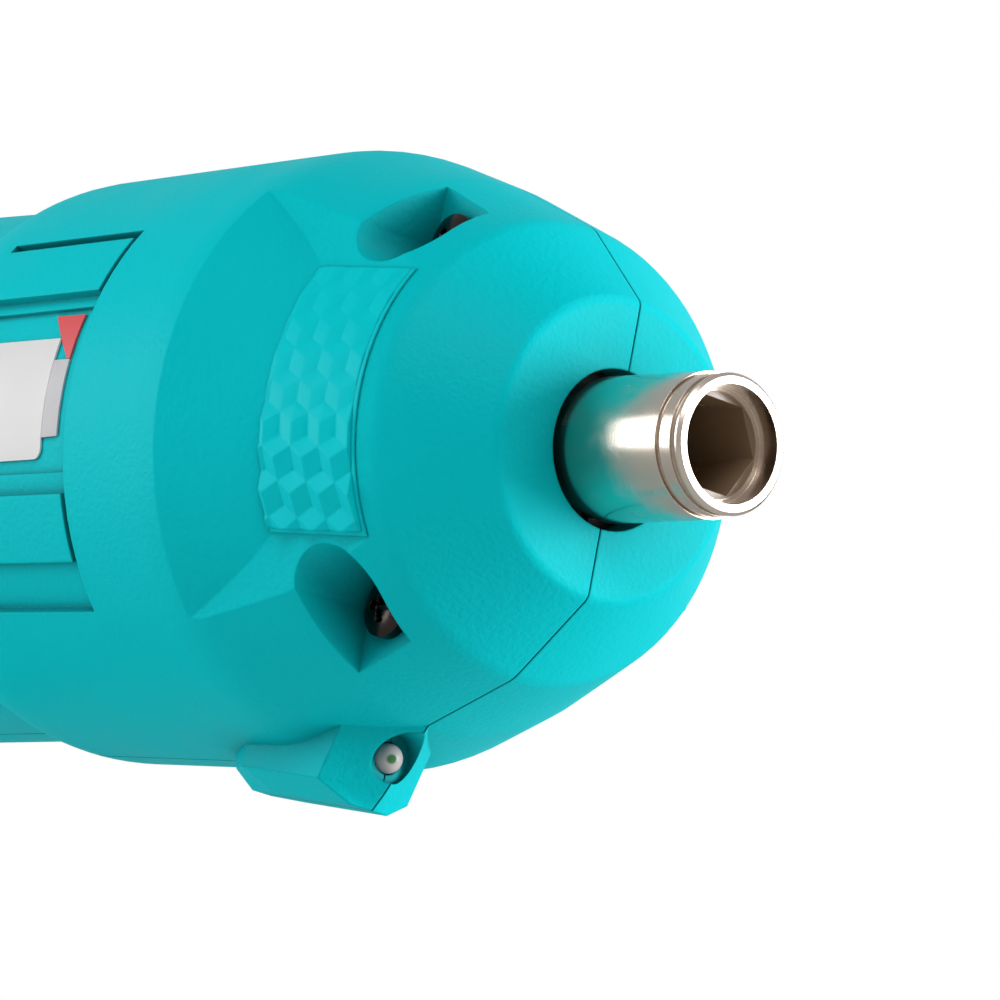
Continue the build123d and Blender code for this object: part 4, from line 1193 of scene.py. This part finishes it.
@dataclass
class GripRibs:
    """Raised rubber ribs round the back and flanks of the grip, which follow the handle's waist."""

    handle: HandleFrame
    half_depth: float = 17.2
    half_width: float = 18.2
    waist_depth: float = 1.0
    waist_width: float = 2.3
    lean: float = 1.6
    handle_length: float = 128.0
    first_drop: float = 58.0
    last_drop: float = 108.0
    count: int = 17
    rib_width: float = 1.3
    rib_height: float = 0.35
    end_height: float = 0.04  # what is left of it at a rib's ends
    end_power: int = 8  # how late a rib tapers out
    foot: float = 0.06
    # Shares of a rib's height and half width, round its section
    section: tuple[tuple[float, float], ...] = (
        (0.0, -1.0),
        (0.6, -0.8),
        (1.0, -0.35),
        (1.0, 0.35),
        (0.6, 0.8),
        (0.0, 1.0),
    )
    reach_degrees: float = 86.0  # either side of straight back
    segments: int = 64

    def rib(self) -> bpy.types.Object:
        """Makes one rib round an unwaisted grip, its own back closed, tapering out at both ends.

        Returns:
            The rib, which isn't in the scene.
        """
        form = bmesh.new()
        rings = []
        for step in range(self.segments + 1):
            share = 2 * step / self.segments - 1
            turn = math.pi + math.radians(self.reach_degrees) * share
            swell = math.sqrt(max(0.0, 1 - share**self.end_power))
            rise = self.end_height + (self.rib_height - self.end_height) * swell
            ring = []
            for height_share, width_share in self.section:
                height = self.foot + height_share * rise
                depth = (self.half_depth + height) * math.cos(turn)
                width = (self.half_width + height) * math.sin(turn)
                ring.append(form.verts.new((depth, width, width_share * self.rib_width / 2)))
            rings.append(ring)
        for before, after in zip(rings, rings[1:]):
            for edge in range(len(self.section)):
                follow = (edge + 1) % len(self.section)
                form.faces.new((before[edge], before[follow], after[follow], after[edge]))
        form.faces.new(rings[0])
        form.faces.new(reversed(rings[-1]))
        return bpy.data.objects.new("grip_rib", closed_mesh("grip_rib", form))

    def tree(self) -> bpy.types.NodeTree:
        """Builds the tree that sets the ribs down the handle and draws each in to its waist.

        Returns:
            The tree.
        """
        line = {"Count": "Int", "First": "Vector", "Step": "Vector"}
        waist_inputs = {"Waist rate": "Float", "Lean": "Vector", "Narrowing": "Vector"}
        tree, given = new_tree("rib_rows", {"Rib": "Object", **line, **waist_inputs})
        places = node(
            tree,
            "GeometryNodeMeshLine",
            {"Count": given["Count"], "Start Location": given["First"], "Offset": given["Step"]},
        )
        position = node(tree, "GeometryNodeInputPosition").outputs[0]
        drop = node(tree, "ShaderNodeSeparateXYZ", {0: position}).outputs["Z"]
        phase = node(
            tree, "ShaderNodeMath", {0: drop, 1: given["Waist rate"]}, operation="MULTIPLY"
        )
        waist = node(tree, "ShaderNodeMath", {0: phase.outputs[0]}, operation="SINE").outputs[0]
        offset = node(
            tree, "ShaderNodeVectorMath", {0: given["Lean"], "Scale": waist}, operation="SCALE"
        )
        drawn_in = node(
            tree, "ShaderNodeVectorMath", {0: given["Narrowing"], "Scale": waist}, operation="SCALE"
        )
        size = node(
            tree,
            "ShaderNodeVectorMath",
            {0: (1.0, 1.0, 1.0), 1: drawn_in.outputs[0]},
            operation="SUBTRACT",
        )
        moved = node(
            tree,
            "GeometryNodeSetPosition",
            {"Geometry": places.outputs[0], "Offset": offset.outputs[0]},
        )
        rib = node(tree, "GeometryNodeObjectInfo", {"Object": given["Rib"], "As Instance": True})
        rows = node(
            tree,
            "GeometryNodeInstanceOnPoints",
            {
                "Points": moved.outputs[0],
                "Instance": rib.outputs["Geometry"],
                "Scale": size.outputs[0],
            },
        )
        end_tree(tree, rows.outputs[0], given["Finish"])
        return tree

    def build(self, finish: bpy.types.Material) -> None:
        """Makes the ribs, turns them into the handle's place and lets them ride on it.

        Args:
            finish: the grip's rubber.
        """
        rib = self.rib()
        pitch = (self.last_drop - self.first_drop) / (self.count - 1)
        values = {
            "Rib": rib,
            "Count": self.count,
            "First": (0.0, 0.0, self.first_drop),
            "Step": (0.0, 0.0, pitch),
            "Waist rate": math.pi / self.handle_length,
            "Lean": (-self.lean, 0.0, 0.0),
            "Narrowing": (
                self.waist_depth / self.half_depth,
                self.waist_width / self.half_width,
                0.0,
            ),
            "Finish": finish,
        }
        mesh = settle(self.tree(), values)
        bpy.data.objects.remove(rib)
        forward, down = self.handle.axes()
        turn = Matrix((forward, down.cross(forward), down)).transposed().to_4x4()
        size = Matrix.Diagonal((MM, MM, MM, 1.0))
        mesh.transform(Matrix.Translation((self.handle.pivot_x * MM, 0.0, 0.0)) @ turn @ size)
        piece = dressed("grip_ribs", mesh, finish)
        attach(piece, "handle")


@dataclass(frozen=True)
class Softbox:
    """A square soft light that looks at the head."""

    name: str
    direction: tuple[float, float, float]
    distance: float
    size: float
    power: float

    def build(self) -> None:
        """Adds the light, unseen by the camera itself."""
        lamp = bpy.data.lights.new(self.name, "AREA")
        lamp.shape = "SQUARE"
        lamp.size = self.size
        lamp.energy = self.power
        stand = bpy.data.objects.new(self.name, lamp)
        place = Vector(self.direction).normalized() * self.distance
        turn = (-place).to_track_quat("-Z", "Y").to_matrix().to_4x4()
        stand.matrix_world = Matrix.Translation(place) @ turn
        stand.visible_camera = False
        bpy.context.scene.collection.objects.link(stand)


@dataclass
class Studio:
    """Camera at the photograph's place, soft lights and a pale floor."""

    camera_mm: tuple[float, float, float] = (526.50, -441.15, -135.13)
    right: tuple[float, float, float] = (0.64954, 0.73999, 0.17467)
    up: tuple[float, float, float] = (0.02896, -0.25364, 0.96689)
    back: tuple[float, float, float] = (0.75978, -0.62297, -0.18618)
    lens_mm: float = 358.28
    sensor_mm: float = 36.0
    nearest_mm: float = 10.0
    farthest_mm: float = 20000.0
    floor_radius_mm: float = 2000.0
    floor_front_mm: float = 550.0  # it ends before the camera, which stands a little lower than it
    floor_segments: int = 96
    room_light: float = 0.07
    room_gloss: float = 0.55  # what the white room shows in a polished surface
    softboxes: tuple[Softbox, ...] = (
        Softbox("left_softbox", (0.72, 0.68, 0.14), 0.8, 0.4, 5.8),
        Softbox("rear_softbox", (-0.72, -0.69, 0.05), 0.8, 0.5, 3.6),
        Softbox("right_softbox", (0.42, -0.6, 0.68), 0.9, 0.45, 3.6),
        Softbox("upper_softbox", (0.4, 0.5, 0.75), 0.9, 0.45, 1.8),
    )

    def build(self, floor_z: float) -> None:
        """Sets up the camera, the world, the lights and the floor.

        Args:
            floor_z: height of the floor, the lowest point of the object, in metres.
        """
        scene = bpy.context.scene
        scene.view_settings.view_transform = "Standard"
        lens = bpy.data.cameras.new("camera")
        lens.lens = self.lens_mm
        lens.sensor_width = self.sensor_mm
        lens.clip_start = self.nearest_mm * MM
        lens.clip_end = self.farthest_mm * MM
        camera = bpy.data.objects.new("camera", lens)
        turn = Matrix((self.right, self.up, self.back)).transposed()
        camera.matrix_world = Matrix.Translation(Vector(self.camera_mm) * MM) @ turn.to_4x4()
        scene.collection.objects.link(camera)
        scene.camera = camera
        self.room()
        for softbox in self.softboxes:
            softbox.build()
        self.floor(floor_z)

    def room(self) -> None:
        """Makes a white room: pure white behind the object, dimmer as a light on it."""
        world = bpy.data.worlds.new("white_studio")
        world.use_nodes = True
        tree = world.node_tree
        tree.nodes.clear()
        ray = node(tree, "ShaderNodeLightPath").outputs
        lit = node(
            tree,
            "ShaderNodeMapRange",
            {"Value": ray["Is Glossy Ray"], "To Min": self.room_light, "To Max": self.room_gloss},
        )
        strength = node(
            tree,
            "ShaderNodeMath",
            {0: ray["Is Camera Ray"], 1: lit.outputs[0]},
            operation="MAXIMUM",
        )
        white = node(
            tree,
            "ShaderNodeBackground",
            {"Color": (1.0, 1.0, 1.0, 1.0), "Strength": strength.outputs[0]},
        )
        node(tree, "ShaderNodeOutputWorld", {"Surface": white.outputs[0]})
        bpy.context.scene.world = world

    def floor(self, height: float) -> None:
        """Adds the round floor, most of it behind the object as the camera sees it.

        Args:
            height: its height, in metres.
        """
        mesh = bpy.data.meshes.new("floor")
        form = bmesh.new()
        radius = self.floor_radius_mm * MM
        bmesh.ops.create_circle(form, cap_ends=True, segments=self.floor_segments, radius=radius)
        away = -Vector((self.back[0], self.back[1], 0.0)).normalized()
        middle = away * (self.floor_radius_mm - self.floor_front_mm) * MM
        bmesh.ops.translate(form, verts=form.verts, vec=(middle.x, middle.y, height))
        form.to_mesh(mesh)
        form.free()
        dressed("floor", mesh, Trim.PAINTED_BOARD.value.build())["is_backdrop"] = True


def main() -> None:
    """Builds the scene in order and reports each piece."""
    logging.basicConfig(level=logging.INFO, format="%(name)s: %(message)s")
    cad_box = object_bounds()
    Studio().build(cad_box[0].z)
    finishes = {slot.name.lower(): slot.value.build() for slot in Slot}
    for part in frame["record"]["subparts"]:
        mesh = frame["nodes"][part["node"]].data
        mesh.materials.clear()
        mesh.materials.append(finishes[part["material_slot"]])
        LOG.info("%s is finished as %s", part["node"], part["material_slot"])
    # The clip is coloured nearly black as painted shade in the gap round the sleeve
    frame["nodes"]["retaining_clip"].data.materials[0] = Trim.PHOSPHATE.value.build()
    StackedCubeRelief().build(Trim.POLISHED_RELIEF.value.build())
    SideLabel().build(finishes["label_white"])
    handle = HandleFrame()
    HousingScrews(handle).build(finishes["black_screw"])
    ButtonSprings(handle).build(finishes["steel"])
    GripRibs(handle).build(finishes["grip_rubber"])


if __name__ == "__main__":
    main()
